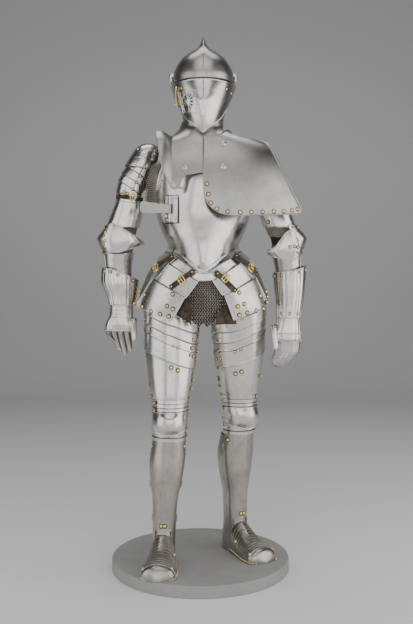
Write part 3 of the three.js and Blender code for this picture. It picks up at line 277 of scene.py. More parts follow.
def wall(outer: Array, inner: Array, *, closed: bool = False, keep: Array | None = None) -> Shape:
    """A closed wall between two equal grids of points.

    Each kept cell gives a face on both sides, and each side of a kept cell that borders no kept cell gives a
    face across the wall's thickness.

    Args:
        outer: The outer grid, of shape (across, rising, 3).
        inner: The inner grid, of the same shape.
        closed: Whether the last column joins the first.
        keep: Which cells are there; all of them if left out.

    Returns:
        The wall.
    """
    across, rising = outer.shape[:2]
    spans = across if closed else across - 1
    keep = np.ones((spans, rising - 1), bool) if keep is None else keep
    j, i = np.meshgrid(np.arange(spans), np.arange(rising - 1), indexing="ij")
    count = across * rising

    def at(column: Array, row: Array) -> Array:
        return (column % across) * rising + row

    a, b, c, d = at(j, i), at(j + 1, i), at(j + 1, i + 1), at(j, i + 1)
    beyond = np.zeros((spans, 1), bool)
    under = np.concatenate([beyond, keep[:, :-1]], axis=1)
    over = np.concatenate([keep[:, 1:], beyond], axis=1)
    if closed:
        before, after = np.roll(keep, 1, axis=0), np.roll(keep, -1, axis=0)
    else:
        side = np.zeros((1, rising - 1), bool)
        before, after = np.concatenate([side, keep[:-1]]), np.concatenate([keep[1:], side])

    def faces(mask: Array, *corners: Array) -> Array:
        return np.stack([corner[mask] for corner in corners], axis=-1)

    quads = np.concatenate([
        faces(keep, a, b, c, d),
        faces(keep, a + count, d + count, c + count, b + count),
        faces(keep & ~under, a + count, b + count, b, a),
        faces(keep & ~over, d, c, c + count, d + count),
        faces(keep & ~before, a, d, d + count, a + count),
        faces(keep & ~after, b, b + count, c + count, c),
    ])
    points = np.concatenate([outer.reshape(-1, 3), inner.reshape(-1, 3)])
    used = np.unique(quads)
    renumbered = np.zeros(len(points), int)
    renumbered[used] = np.arange(len(used))
    return outward(Shape(points[used], renumbered[quads]))


def grid(across: Array, rising: Array) -> tuple[Array, Array]:
    """Two station lists as a grid."""
    return np.meshgrid(across, rising, indexing="ij")


def stations(start: float, end: float, step: float) -> Array:
    """Even stations between two ends, about a step apart."""
    return np.linspace(start, end, max(2, round((end - start) / step) + 1))


@dataclass(frozen=True)
class Band:
    """A plate between two angles of a form and two edge lines.

    The lift runs from lower at the bottom edge to lift at the top edge, and swell adds to it.
    """

    form: Surface
    start: float
    end: float
    low: Edge | float
    high: Edge | float
    lift: float = 0.0
    lower: float | None = None
    step: float = 4.0
    rise: float = 7.0
    thick: float = WALL
    swell: Callable[[Array, Array], Array] | None = None

    def places(self) -> tuple[Array, Array, Array]:
        """The grid's angles, heights and lifts."""
        angles = stations(self.start, self.end, self.step)
        if self.closed:
            angles = angles[:-1]
        low, high = as_edge(self.low)(angles), as_edge(self.high)(angles)
        rows = max(2, round(float(np.max(high - low)) / self.rise) + 1)
        u, t = grid(angles, np.linspace(0, 1, rows))
        v = low[:, None] + (high - low)[:, None] * t
        bottom = self.lift if self.lower is None else self.lower
        lift = bottom + (self.lift - bottom) * t
        if self.swell is not None:
            lift = lift + self.swell(u, v)
        return u, v, lift

    @property
    def closed(self) -> bool:
        """Whether the band runs all the way round."""
        return self.end - self.start >= 359.9

    def shape(self) -> Shape:
        """The plate's wall."""
        u, v, lift = self.places()
        return wall(self.form(u, v, lift), self.form(u, v, lift - self.thick), closed=self.closed)

    def rim(self, top: bool, inset: float = 0.0) -> tuple[Array, Array]:
        """The points and normals along the top or the bottom edge, at the middle of the wall."""
        u, v, lift = self.places()
        row = -1 if top else 0
        angles, heights = u[:, row], v[:, row] + (-inset if top else inset)
        points = self.form(angles, heights, lift[:, row] - self.thick / 2)
        return points, self.form.normal(angles, heights)


def tube(
    path: Array, normals: Array, radius: float | Array, *, closed: bool = False, sides: int = 8
) -> Shape:
    """A round bar swept along a path: each ring stands across the path's direction.

    Args:
        path: The centre points.
        normals: A direction across the path at each point.
        radius: The bar's radius, one for all or one for each point.
        closed: Whether the path comes back to its start.
        sides: The number of sides.

    Returns:
        The bar, with its ends closed.
    """
    if closed:
        ahead = np.roll(path, -1, axis=0) - np.roll(path, 1, axis=0)
    else:
        ahead = np.gradient(path, axis=0)
    ahead = unit(ahead)
    side = unit(np.cross(ahead, normals))
    out = np.cross(side, ahead)
    turn = np.linspace(0, 2 * np.pi, sides, endpoint=False)
    reach = np.broadcast_to(np.asarray(radius, float), (len(path),))[:, None, None]
    ring = np.cos(turn)[None, :, None] * side[:, None] + np.sin(turn)[None, :, None] * out[:, None]
    points = path[:, None] + reach * ring
    spans = len(path) if closed else len(path) - 1
    j, i = np.meshgrid(np.arange(spans), np.arange(sides), indexing="ij")
    j, i = j.ravel(), i.ravel()
    after, beside = (j + 1) % len(path), (i + 1) % sides
    quads = np.stack([j * sides + i, j * sides + beside, after * sides + beside, after * sides + i], axis=-1)
    shape = Shape(points.reshape(-1, 3), quads)
    if closed:
        return outward(shape)
    first = np.arange(sides)
    last = (len(path) - 1) * sides + first
    centre = len(shape.points)
    shape.points = np.concatenate([shape.points, path[:1], path[-1:]])
    start = np.stack([np.full(sides, centre), np.roll(first, -1), first], axis=-1)
    end = np.stack([np.full(sides, centre + 1), last, np.roll(last, -1)], axis=-1)
    shape.tris = np.concatenate([start, end])
    flipped = Shape(shape.points, shape.quads[:, ::-1], shape.tris)
    return outward(flipped)


def studs(
    points: Array, normals: Array, radius: Array | float, height: Array | float,
    sides: int = HEAD_SIDES, rings: int = 3,
) -> Shape:
    """Domed rivet heads, one at each point, all from one round profile.

    Args:
        points: Where the heads stand.
        normals: Which way each head faces.
        radius: The radius of a head.
        height: How far a head stands out.
        sides: The number of sides.
        rings: The number of rings from the rim to the crown.

    Returns:
        The heads as one shape.
    """
    points, normals = np.atleast_2d(points), unit(np.atleast_2d(normals))
    radius, height = (
        np.broadcast_to(size, (len(points),))[:, None, None, None] for size in (radius, height)
    )
    helper = np.where(np.abs(normals[:, 2:3]) < 0.9, [[0.0, 0.0, 1.0]], [[1.0, 0.0, 0.0]])
    side = unit(np.cross(helper, normals))
    other = np.cross(normals, side)
    turn = np.linspace(0, 2 * np.pi, sides, endpoint=False)
    share = np.linspace(0, 1, rings, endpoint=False) * (np.pi / 2)
    out = np.concatenate([[1.0], np.cos(share)])
    up = np.concatenate([[-0.5], np.sin(share)])
    flat = np.cos(turn)[:, None] * side[:, None] + np.sin(turn)[:, None] * other[:, None]
    body = points[:, None, None] + radius * out[None, :, None, None] * flat[:, None]
    body = body + height * up[None, :, None, None] * normals[:, None, None]
    crown = points + height[:, 0, 0] * normals
    each = (rings + 1) * sides + 1
    places = np.concatenate([body.reshape(len(points), -1, 3), crown[:, None]], axis=1)
    j, i = np.meshgrid(np.arange(rings), np.arange(sides), indexing="ij")
    j, i = j.ravel(), i.ravel()
    beside = (i + 1) % sides
    quads = np.stack(
        [j * sides + i, j * sides + beside, (j + 1) * sides + beside, (j + 1) * sides + i], axis=-1
    )
    top = rings * sides + np.arange(sides)
    tris = np.stack([top, rings * sides + (np.arange(sides) + 1) % sides, np.full(sides, each - 1)], axis=-1)
    starts = (np.arange(len(points)) * each)[:, None, None]
    return Shape(
        places.reshape(-1, 3), (quads[None] + starts).reshape(-1, 4), (tris[None] + starts).reshape(-1, 3)
    )


def rivet_shadow_discs(heads: Shape) -> Shape:
    """A thin dark disc under each rivet head, wider than the head: a painted shadow round its foot."""
    blocks = heads.points.reshape(-1, HEAD_POINTS, 3)
    foot = blocks[:, :HEAD_SIDES].mean(axis=1)
    axis = blocks[:, -1] - foot
    radius = np.linalg.norm(blocks[:, 0] - foot, axis=1)
    return studs(foot + axis / 3, axis, SHADOW_DISC_REACH * radius, SHADOW_DISC_HEIGHT, rings=2)


def ringlets(
    centre: Array, normal: Array, lean: Array | float, radius: float = 5.0, wire: float = 1.15
) -> Shape:
    """Mail rings: each is a bar of 5 sides round 9 points, turned about its upright by the lean.

    Args:
        centre: The ring centres.
        normal: The surface's normals there.
        lean: How far each ring is turned, in radians.
        radius: A ring's radius.
        wire: The wire's radius.

    Returns:
        The rings as one shape.
    """
    up = unit(np.array([0.0, 0.0, 1.0]) - normal * normal[:, 2:3])
    side = np.cross(up, normal)
    lean = np.broadcast_to(lean, (len(centre),))[:, None]
    normal, side = np.cos(lean) * normal + np.sin(lean) * side, np.cos(lean) * side - np.sin(lean) * normal
    turn = np.linspace(0, 2 * np.pi, 9, endpoint=False)[None, :, None]
    tilt = np.linspace(0, 2 * np.pi, 5, endpoint=False)[None, None, :, None]
    spoke = np.cos(turn) * side[:, None] + np.sin(turn) * up[:, None]
    ring = centre[:, None] + radius * spoke
    across = np.cos(tilt) * spoke[:, :, None] + np.sin(tilt) * normal[:, None, None]
    points = ring[:, :, None] + wire * across
    j, i = (part.ravel() for part in np.meshgrid(np.arange(9), np.arange(5), indexing="ij"))
    ahead, beside = (j + 1) % 9, (i + 1) % 5
    quads = np.stack([j * 5 + i, j * 5 + beside, ahead * 5 + beside, ahead * 5 + i], axis=-1)
    starts = (np.arange(len(centre)) * 45)[:, None, None]
    return outward(Shape(points.reshape(-1, 3), (quads[None] + starts).reshape(-1, 4)))


def strip(centre: Array, normals: Array, width: float | Array, thick: float) -> Shape:
    """A flat strap along a line of points, with its face towards the normals."""
    side = unit(np.cross(unit(np.gradient(centre, axis=0)), normals))
    reach = np.broadcast_to(np.asarray(width, float), (len(centre),))[:, None]
    across = np.linspace(-0.5, 0.5, 5)
    points = centre[:, None] + across[None, :, None] * (reach * side)[:, None]
    crown = (1 - (2 * across) ** 2) * 0.18 * thick
    outer = points + (thick / 2 + crown)[None, :, None] * normals[:, None]
    inner = points - (thick / 2) * normals[:, None]
    return wall(outer[:, ::-1], inner[:, ::-1])


class Slot(Enum):
    """The material slots of the record."""

    BRIGHT = "bright_steel"
    SATIN = "satin_steel"
    DARK = "dark_steel"
    MAIL = "mail"
    LEATHER = "leather"
    GILT = "gilt"
    PLINTH = "plinth_paint"


Colour = tuple[float, float, float]


@dataclass(frozen=True)
class Steel:
    """A worn steel finish: two colours that clouds mix, the gloss range, and the depth of its pits."""

    light: Colour
    deep: Colour
    smooth: float
    rough: float
    streak: float
    pit: float
    metal: float = 1.0


STEELS = {
    Slot.BRIGHT: Steel((0.78, 0.765, 0.735), (0.50, 0.485, 0.455), 0.23, 0.34, 0.25, 0.12),
    Slot.SATIN: Steel((0.46, 0.45, 0.435), (0.30, 0.293, 0.278), 0.30, 0.42, 0.25, 0.16),
    Slot.DARK: Steel((0.50, 0.475, 0.44), (0.24, 0.222, 0.195), 0.28, 0.44, 0.5, 0.22),
    Slot.GILT: Steel((1.0, 0.80, 0.30), (0.70, 0.50, 0.16), 0.26, 0.42, 0.1, 0.2, 0.75),
    Slot.MAIL: Steel((0.50, 0.45, 0.39), (0.16, 0.135, 0.11), 0.30, 0.50, 0.1, 0.3),
}


class Nodes:
    """A small writer of node trees."""

    def __init__(self, tree: bpy.types.NodeTree) -> None:
        """Keeps the tree."""
        self.tree = tree

    def add(self, kind: str, **values: object) -> bpy.types.Node:
        """A node with its attributes set."""
        node = self.tree.nodes.new(kind)
        for name, value in values.items():
            setattr(node, name, value)
        return node

    def link(self, source: bpy.types.NodeSocket, target: bpy.types.NodeSocket) -> None:
        """Joins an output to an input."""
        self.tree.links.new(source, target)

    def noise(
        self, vector: bpy.types.NodeSocket, scale: float, detail: float, rough: float = 0.55
    ) -> bpy.types.NodeSocket:
        """The value of a noise texture."""
        node = self.add("ShaderNodeTexNoise")
        node.inputs["Scale"].default_value = scale
        node.inputs["Detail"].default_value = detail
        node.inputs["Roughness"].default_value = rough
        self.link(vector, node.inputs["Vector"])
        return node.outputs["Fac"]

    def stretched(
        self, vector: bpy.types.NodeSocket, scale: tuple[float, float, float]
    ) -> bpy.types.NodeSocket:
        """The vector scaled along each axis."""
        node = self.add("ShaderNodeMapping")
        node.inputs["Scale"].default_value = scale
        self.link(vector, node.inputs["Vector"])
        return node.outputs["Vector"]

    def ramp(
        self, value: bpy.types.NodeSocket, low: float, high: float, out: tuple[float, float] = (0.0, 1.0)
    ) -> bpy.types.NodeSocket:
        """The value mapped smoothly from one range to another."""
        node = self.add("ShaderNodeMapRange", interpolation_type="SMOOTHSTEP")
        for name, number in zip(("From Min", "From Max", "To Min", "To Max"), (low, high, *out)):
            node.inputs[name].default_value = number
        self.link(value, node.inputs["Value"])
        return node.outputs["Result"]

    def mathematics(
        self, operation: str, first: bpy.types.NodeSocket, second: bpy.types.NodeSocket | float
    ) -> bpy.types.NodeSocket:
        """Two values put together."""
        node = self.add("ShaderNodeMath", operation=operation)
        self.link(first, node.inputs[0])
        if isinstance(second, (int, float)):
            node.inputs[1].default_value = second
        else:
            self.link(second, node.inputs[1])
        return node.outputs[0]

    def mix(self, share: bpy.types.NodeSocket, first: object, second: object) -> bpy.types.NodeSocket:
        """Two colours mixed by a mask."""
        node = self.add("ShaderNodeMix", data_type="RGBA")
        self.link(share, node.inputs["Factor"])
        for socket, value in ((node.inputs[6], first), (node.inputs[7], second)):
            if isinstance(value, bpy.types.NodeSocket):
                self.link(value, socket)
            else:
                socket.default_value = (*value, 1.0)
        return node.outputs[2]


def wear_group() -> bpy.types.NodeTree:
    """A group that turns a place into the wear of old steel: clouds, streaks, pits and scratches.

    Returns:
        The group, with masks for clouds, streaks, pits and fine scratches and one height for the bump.
    """
    group = bpy.data.node_groups.new("Wear of old steel", "ShaderNodeTree")
    face = group.interface
    face.new_socket("Place", in_out="INPUT", socket_type="NodeSocketVector")
    for name in ("Clouds", "Streaks", "Pits", "Scratches", "Height"):
        face.new_socket(name, in_out="OUTPUT", socket_type="NodeSocketFloat")
    nodes = Nodes(group)
    place = nodes.add("NodeGroupInput").outputs["Place"]
    out = nodes.add("NodeGroupOutput")
    clouds = nodes.noise(place, 17.0, 5.0, 0.6)
    streaks = nodes.noise(nodes.stretched(place, (60.0, 60.0, 7.0)), 1.0, 4.0, 0.6)
    fine = nodes.noise(nodes.stretched(place, (700.0, 260.0, 90.0)), 1.0, 2.0, 0.5)
    cells = nodes.add("ShaderNodeTexVoronoi", feature="F1")
    cells.inputs["Scale"].default_value = 120.0
    nodes.link(place, cells.inputs["Vector"])
    spots = nodes.ramp(cells.outputs["Distance"], 0.10, 0.22, (1.0, 0.0))
    patch = nodes.ramp(nodes.noise(place, 30.0, 3.0), 0.50, 0.66)
    pits = nodes.mathematics("MULTIPLY", spots, patch)
    ripple = nodes.noise(place, 45.0, 2.0)
    nodes.link(nodes.ramp(clouds, 0.36, 0.66), out.inputs["Clouds"])
    nodes.link(nodes.ramp(streaks, 0.42, 0.68), out.inputs["Streaks"])
    nodes.link(pits, out.inputs["Pits"])
    nodes.link(nodes.ramp(fine, 0.45, 0.75), out.inputs["Scratches"])
    low = nodes.mathematics("SUBTRACT", ripple, nodes.mathematics("MULTIPLY", pits, 0.5))
    nodes.link(
        nodes.mathematics("ADD", low, nodes.mathematics("MULTIPLY", fine, 0.06)), out.inputs["Height"]
    )
    return group


@dataclass
class Palette:
    """The materials of the suit, one for each slot."""

    wear: bpy.types.NodeTree = field(default_factory=wear_group)
    made: dict[Slot, bpy.types.Material] = field(default_factory=dict)
    # The near-black sheet material behind the mail: painted shade between the rings.
    shade_sheet: bpy.types.Material | None = None

    def __getitem__(self, slot: Slot) -> bpy.types.Material:
        """The slot's material, made when it is first asked for."""
        if slot not in self.made:
            maker = {Slot.LEATHER: self.leather, Slot.PLINTH: self.plinth}.get(slot)
            self.made[slot] = maker() if maker else self.steel(slot, STEELS[slot])
        return self.made[slot]

    def blank(self, name: str) -> tuple[bpy.types.Material, Nodes, bpy.types.Node, bpy.types.NodeSocket]:
        """A new material with its writer, its shader and the object's own coordinates."""
        material = bpy.data.materials.new(name)
        material.use_nodes = True
        nodes = Nodes(material.node_tree)
        shader = material.node_tree.nodes["Principled BSDF"]
        place = nodes.add("ShaderNodeTexCoord").outputs["Object"]
        return material, nodes, shader, place

    def bump(
        self, nodes: Nodes, height: bpy.types.NodeSocket, strength: float, distance: float,
        shader: bpy.types.Node
    ) -> None:
        """Drives the shader's normal from a height."""
        bump = nodes.add("ShaderNodeBump")
        bump.inputs["Strength"].default_value = strength
        bump.inputs["Distance"].default_value = distance
        nodes.link(height, bump.inputs["Height"])
        nodes.link(bump.outputs["Normal"], shader.inputs["Normal"])

    def steel(self, slot: Slot, finish: Steel) -> bpy.types.Material:
        """A metal finish with clouds, streaks, pits and scratches."""
        material, nodes, shader, place = self.blank(slot.value)
        wear = nodes.add("ShaderNodeGroup", node_tree=self.wear)
        nodes.link(place, wear.inputs["Place"])
        cloud = nodes.mathematics("MULTIPLY", wear.outputs["Clouds"], 0.5)
        streak = nodes.mathematics("MULTIPLY", wear.outputs["Streaks"], finish.streak)
        dirt = nodes.mathematics("MAXIMUM", cloud, streak)
        pits = nodes.mathematics("MULTIPLY", wear.outputs["Pits"], 0.8)
        colour = nodes.mix(dirt, finish.light, finish.deep)
        stained = nodes.mix(pits, colour, tuple(0.35 * part for part in finish.deep))
        nodes.link(stained, shader.inputs["Base Color"])
        gloss = nodes.mathematics("MAXIMUM", dirt, wear.outputs["Pits"])
        scuffed = nodes.mathematics(
            "ADD", gloss, nodes.mathematics("MULTIPLY", wear.outputs["Scratches"], 0.25)
        )
        nodes.link(nodes.ramp(scuffed, 0.0, 1.1, (finish.smooth, finish.rough)), shader.inputs["Roughness"])
        shader.inputs["Metallic"].default_value = finish.metal
        self.bump(nodes, wear.outputs["Height"], finish.pit, 0.0006, shader)
        return material

    def ring_shade_sheet(self) -> bpy.types.Material:
        """The near-black sheet behind the mail's rings, with a faint weave: painted shade between the rings.
        """
        if self.shade_sheet is None:
            self.shade_sheet, nodes, shader, place = self.blank("mail_shade_sheet")
            weave = nodes.ramp(nodes.noise(place, 420.0, 3.0), 0.3, 0.7)
            nodes.link(
                nodes.mix(weave, (0.012, 0.010, 0.009), (0.040, 0.034, 0.029)), shader.inputs["Base Color"]
            )
            shader.inputs["Roughness"].default_value = 0.9
            self.bump(nodes, weave, 0.4, 0.0006, shader)
        return self.shade_sheet

    def leather(self) -> bpy.types.Material:
        """Worn brown strap leather with a pebbled grain and rubbed patches; it also colours the painted
        shadows.
        """
        material, nodes, shader, place = self.blank(Slot.LEATHER.value)
        rubbed = nodes.ramp(nodes.noise(place, 60.0, 4.0), 0.35, 0.7)
        nodes.link(
            nodes.mix(rubbed, (0.024, 0.015, 0.008), (0.085, 0.050, 0.024)), shader.inputs["Base Color"]
        )
        nodes.link(nodes.ramp(rubbed, 0.0, 1.0, (0.72, 0.5)), shader.inputs["Roughness"])
        cells = nodes.add("ShaderNodeTexVoronoi", feature="DISTANCE_TO_EDGE")
        cells.inputs["Scale"].default_value = 700.0
        nodes.link(place, cells.inputs["Vector"])
        grain = nodes.mathematics("ADD", cells.outputs["Distance"], nodes.noise(place, 90.0, 3.0))
        self.bump(nodes, grain, 0.5, 0.0007, shader)
        return material

    def plinth(self) -> bpy.types.Material:
        """Matt grey paint with a faint roller texture."""
        material, nodes, shader, place = self.blank(Slot.PLINTH.value)
        clouds = nodes.ramp(nodes.noise(place, 9.0, 5.0), 0.35, 0.7)
        nodes.link(
            nodes.mix(clouds, (0.345, 0.342, 0.338), (0.315, 0.312, 0.308)), shader.inputs["Base Color"]
        )
        nodes.link(nodes.ramp(clouds, 0.0, 1.0, (0.58, 0.7)), shader.inputs["Roughness"])
        self.bump(nodes, nodes.noise(place, 650.0, 2.0), 0.25, 0.0004, shader)
        return material


@dataclass
class Workshop:
    """Makes the pieces: their meshes, finishes, and the bodies that they ride on."""

    palette: Palette
    nodes: dict[str, bpy.types.Object]

    def put(
        self, name: str, shape: Shape, slot: Slot, *, body: str = "suit", replaces: Sequence[str] = (),
        shade_sheet: bool = False,
    ) -> bpy.types.Object:
        """A piece from a shape.

        Args:
            name: The piece's name.
            shape: Its points in the suit's frame and its faces.
            slot: Its finish.
            body: The CAD body that it rides on.
            replaces: The CAD nodes that it stands for.
            shade_sheet: Whether it is the near-black sheet behind mail, painted shade between the rings.

        Returns:
            The piece.
        """
        mesh = bpy.data.meshes.new(name)
        points = (shape.points + SUIT_AT) * MM
        quads, tris = shape.quads, shape.tris
        mesh.vertices.add(len(points))
        mesh.vertices.foreach_set("co", points.astype(np.float32).ravel())
        corners = np.concatenate([quads.ravel(), tris.ravel()]).astype(np.int32)
        mesh.loops.add(len(corners))
        mesh.loops.foreach_set("vertex_index", corners)
        starts = np.concatenate([4 * np.arange(len(quads)), 4 * len(quads) + 3 * np.arange(len(tris))])
        mesh.polygons.add(len(starts))
        mesh.polygons.foreach_set("loop_start", starts.astype(np.int32))
        mesh.polygons.foreach_set("use_smooth", np.ones(len(starts), bool))
        mesh.update(calc_edges=True)
        mesh.set_sharp_from_angle(angle=CREASE)
        # Mail sheets take the near-black material that paints the shade between the rings.
        mesh.materials.append(self.palette.ring_shade_sheet() if shade_sheet else self.palette[slot])
        piece = bpy.data.objects.new(name, mesh)
        bpy.context.collection.objects.link(piece)
        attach(piece, body)
        if replaces:
            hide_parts(*replaces)
        # Each rivet line also gets dark leather discs under its heads: a painted shadow round the foot of
        # each head.
        if name.endswith("_rivets"):
            self.put(name.replace("_rivets", "_shadow_discs"), rivet_shadow_discs(shape), Slot.LEATHER, body=body)
        return piece

    def keep(self, node: str, slot: Slot) -> None:
        """Gives a CAD node that stays in view its finish."""
        mesh = self.nodes[node].data
        mesh.materials.clear()
        mesh.materials.append(self.palette[slot])


HEAD = Form([
    Section(1418, 114, 116, 106),
    Section(1440, 80, 104, 82),
    Section(1466, 73, 98, 80),
    Section(1490, 72, 100, 82),
    Section(1520, 78, 108, 92, y=2),
    Section(1560, 92, 114, 106, y=4),
    Section(1600, 103, 118, 118, y=6),
    Section(1640, 108, 120, 124, y=6),
    Section(1669, 101, 115, 120, y=6, ridge=1),
    Section(1690, 91, 107, 114, y=6, ridge=2),
    Section(1713, 75, 94, 104, y=6, ridge=3, pinch=1.1),
    Section(1732, 52, 80, 92, y=6, pinch=1.35),
    Section(1748, 25, 68, 80, y=6, pinch=1.5),
    Section(1766, 11, 50, 62, y=6, pinch=1.3),
    Section(1779, 6, 33, 42, y=6, pinch=1.1),
    Section(1787, 3.2, 14, 19, y=6),
])
PROW = Form([
    Section(1441, 60, 128, 60, ridge=5, pinch=1.05),
    Section(1470, 76, 143, 60, ridge=5, pinch=1.05),
    Section(1500, 86, 151, 60, ridge=4, pinch=1.03),
    Section(1540, 98, 151, 60, ridge=3),
    Section(1580, 108, 144, 60, ridge=2),
    Section(1620, 113.5, 133.5, 60, ridge=1),
    Section(1665, 114.5, 121, 60),
])
TORSO = Form([
    Section(975, 118, 188, 88, ridge=6, pinch=1.1),
    Section(1010, 118, 195, 88, ridge=6, pinch=1.1),
    Section(1060, 122, 190, 92, ridge=5, pinch=1.05),
    Section(1100, 139, 181, 98, ridge=5),
    Section(1160, 160, 168, 108, ridge=4),
    Section(1230, 170, 153, 116, ridge=4),
    Section(1300, 168, 136, 118, ridge=3),
    Section(1360, 154, 116, 110, ridge=2),
    Section(1400, 134, 98, 96, ridge=1),
    Section(1430, 110, 86, 84),
])
GUARD = Form([
    Section(1150, 376, 190, 60),
    Section(1250, 352, 176, 60),
    Section(1320, 322, 162, 60),
    Section(1370, 288, 148, 60),
    Section(1400, 250, 136, 60),
    Section(1420, 205, 127, 60),
    Section(1438, 140, 119, 60),
    Section(1450, 108, 114, 60),
    Section(1466, 84, 110, 60),
    Section(1490, 79, 108, 60),
])
HIPS = Form([
    Section(780, 246, 168, 160),
    Section(820, 243, 176, 158),
    Section(860, 238, 186, 152),
    Section(900, 229, 193, 146),
    Section(960, 208, 199, 132),
    Section(1000, 186, 200, 120),
    Section(1035, 152, 198, 108),
    Section(1062, 126, 195, 98),
])
ARMS = {
    "right": Form([
        Section(955, 43, 42, 42, x=-291),
        Section(1000, 48, 47, 46, x=-295),
        Section(1040, 54, 54, 50, x=-293),
        Section(1087, 57, 56, 56, x=-288),
        Section(1135, 59, 56, 56, x=-278),
        Section(1175, 57, 55, 55, x=-266),
        Section(1225, 49, 53, 53, x=-257),
        Section(1255, 51, 56, 56, x=-252),
        Section(1300, 56, 62, 62, x=-237),
        Section(1340, 55, 64, 64, x=-217),
        Section(1375, 50, 60, 60, x=-203),
        Section(1400, 42, 48, 48, x=-194),
        Section(1413, 28, 32, 32, x=-192),
        Section(1419, 14, 16, 16, x=-192),
    ]),
    "left": Form([
        Section(960, 44, 43, 43, x=296),
        Section(1000, 48, 47, 46, x=292),
        Section(1040, 54, 53, 50, x=287),
        Section(1087, 56, 56, 56, x=279),
        Section(1120, 59, 56, 56, x=268),
        Section(1170, 59, 56, 56, x=251),
        Section(1225, 52, 53, 53, x=240),
        Section(1255, 52, 56, 56, x=234),
        Section(1300, 56, 62, 62, x=222),
        Section(1340, 55, 62, 62, x=208),
        Section(1375, 50, 54, 60, x=197),
        Section(1398, 40, 42, 48, x=192),
        Section(1409, 26, 28, 32, x=190),
        Section(1414, 13, 14, 16, x=190),
    ]),
}
CUFFS = {
    "right": Form([
        Section(768, 55, 24, 22, x=-284, y=-26),
        Section(790, 54, 27, 25, x=-286, y=-26),
        Section(811, 47, 29, 28, x=-286, y=-24),
        Section(836, 43, 32, 32, x=-282, y=-20),
        Section(860, 44, 37, 37, x=-282, y=-16),
        Section(890, 50, 44, 46, x=-283, y=-10),
        Section(916, 58, 51, 54, x=-287, y=-6),
        Section(943, 65, 57, 60, x=-290, y=-2),
        Section(990, 61, 58, 60, x=-291),
    ]),
    "left": Form([
        Section(736, 49, 27, 24, x=288, y=-30),
        Section(765, 51, 29, 26, x=287, y=-28),
        Section(790, 46, 31, 30, x=290, y=-24),
        Section(817, 43, 34, 34, x=293, y=-20),
        Section(855, 46, 40, 40, x=296, y=-14),
        Section(906, 52, 48, 48, x=298, y=-8),
        Section(957, 57, 55, 55, x=298, y=-2),
        Section(995, 59, 58, 58, x=298),
    ]),
}
MITTEN = Form([
    Section(648, 10, 8, 6, x=258, y=-44),
    Section(656, 25, 15, 10, x=261, y=-43),
    Section(678, 37, 21, 16, x=271, y=-40),
    Section(703, 43, 25, 20, x=285, y=-36),
    Section(744, 51, 29, 24, x=288, y=-30),
])
LEG = Form([
    Section(20, 39, 46, 62),
    Section(60, 38, 44, 58),
    Section(100, 39, 45, 50),
    Section(135, 40, 44, 48, ridge=2),
    Section(200, 42, 45, 54, ridge=3),
    Section(270, 53, 50, 72, ridge=3),
    Section(340, 60, 53, 80, ridge=3),
    Section(400, 57, 53, 68, ridge=2),
    Section(440, 55, 56, 58),
    Section(472, 55, 60, 56),
    Section(520, 60, 62, 60),
    Section(560, 71, 68, 66, ridge=3),
    Section(620, 81, 76, 76, ridge=4),
    Section(700, 91, 88, 86, ridge=5),
    Section(780, 96, 96, 94, ridge=5),
    Section(850, 98, 102, 98, ridge=4),
])


@dataclass(frozen=True)
class Bone:
    """A leg's centre line: x and y by height, how far the leg is turned out, and its outer side."""

    x: Curve
    y: Curve
    turn: float
    out: int


BONES = {
    "right": Bone(
        edge((850, -108), (660, -111), (472, -112), (300, -124), (90, -132), (0, -133)),
        edge((850, -14), (660, -48), (472, -84), (300, -92), (90, -98), (0, -98)),
        turn=-4,
        out=-1,
    ),
    "left": Bone(
        edge((850, 118), (660, 124), (472, 124), (300, 114), (90, 112), (0, 112)),
        edge((850, 4), (660, 18), (472, 34), (300, 44), (90, 48), (0, 48)),
        turn=32,
        out=1,
    ),
}


class LegForm(Surface):
    """The leg's sections about its bone."""

    def __init__(self, bone: Bone) -> None:
        """Keeps the bone."""
        self.bone = bone

    def bare(self, u: Array, v: Array) -> Array:
        """The straight leg's points, turned and moved to the bone."""
        points = turned(LEG.bare(u, v), self.bone.turn)
        centre = np.stack([self.bone.x(v), self.bone.y(v), np.zeros_like(np.asarray(v, float))], axis=-1)
        return points + centre


class FootForm(Surface):
    """A foot: an arch on the sole at each place from the heel (negative) to the toe."""

    dv = -1.0
    half = edge(
        (-64, 24), (-50, 36), (-20, 41), (30, 43), (60, 46), (95, 52), (130, 57), (160, 55), (180, 44),
        (192, 26)
    )
    high = edge(
        (-64, 62), (-50, 80), (-20, 112), (30, 108), (60, 88), (95, 66), (130, 52), (160, 45), (180, 37),
        (192, 26)
    )
    sole = 0.4
    arch = 0.75

    def __init__(self, bone: Bone) -> None:
        """Keeps the bone."""
        self.bone = bone

    def bare(self, u: Array, v: Array) -> Array:
        """The arch's points at an angle from upright and a place along the foot."""
        wide = self.half(v) * np.sin(np.radians(u))
        up = self.high(v) * np.maximum(np.cos(np.radians(u)), 0) ** self.arch
        points = turned(np.stack([wide, -v + 0 * u, up + self.sole], axis=-1), self.bone.turn)
        return points + np.array([float(self.bone.x(0)), float(self.bone.y(0)), 0.0])


class WingForm(Surface):
    """The surface that a couter's wing lies on, forward of the arm."""

    wide = 1.5
    depth = 78.0

    def __init__(self, arm: Form) -> None:
        """Keeps the arm."""
        self.arm = arm

    def bare(self, u: Array, v: Array) -> Array:
        """The points at x and z."""
        share = (u - self.arm.centre(v)) / (self.arm.half(v) * self.wide)
        depth = self.depth * np.sqrt(np.maximum(1 - share * share, 0.02))
        return np.stack([u + 0 * v, -depth, v + 0 * u], axis=-1)


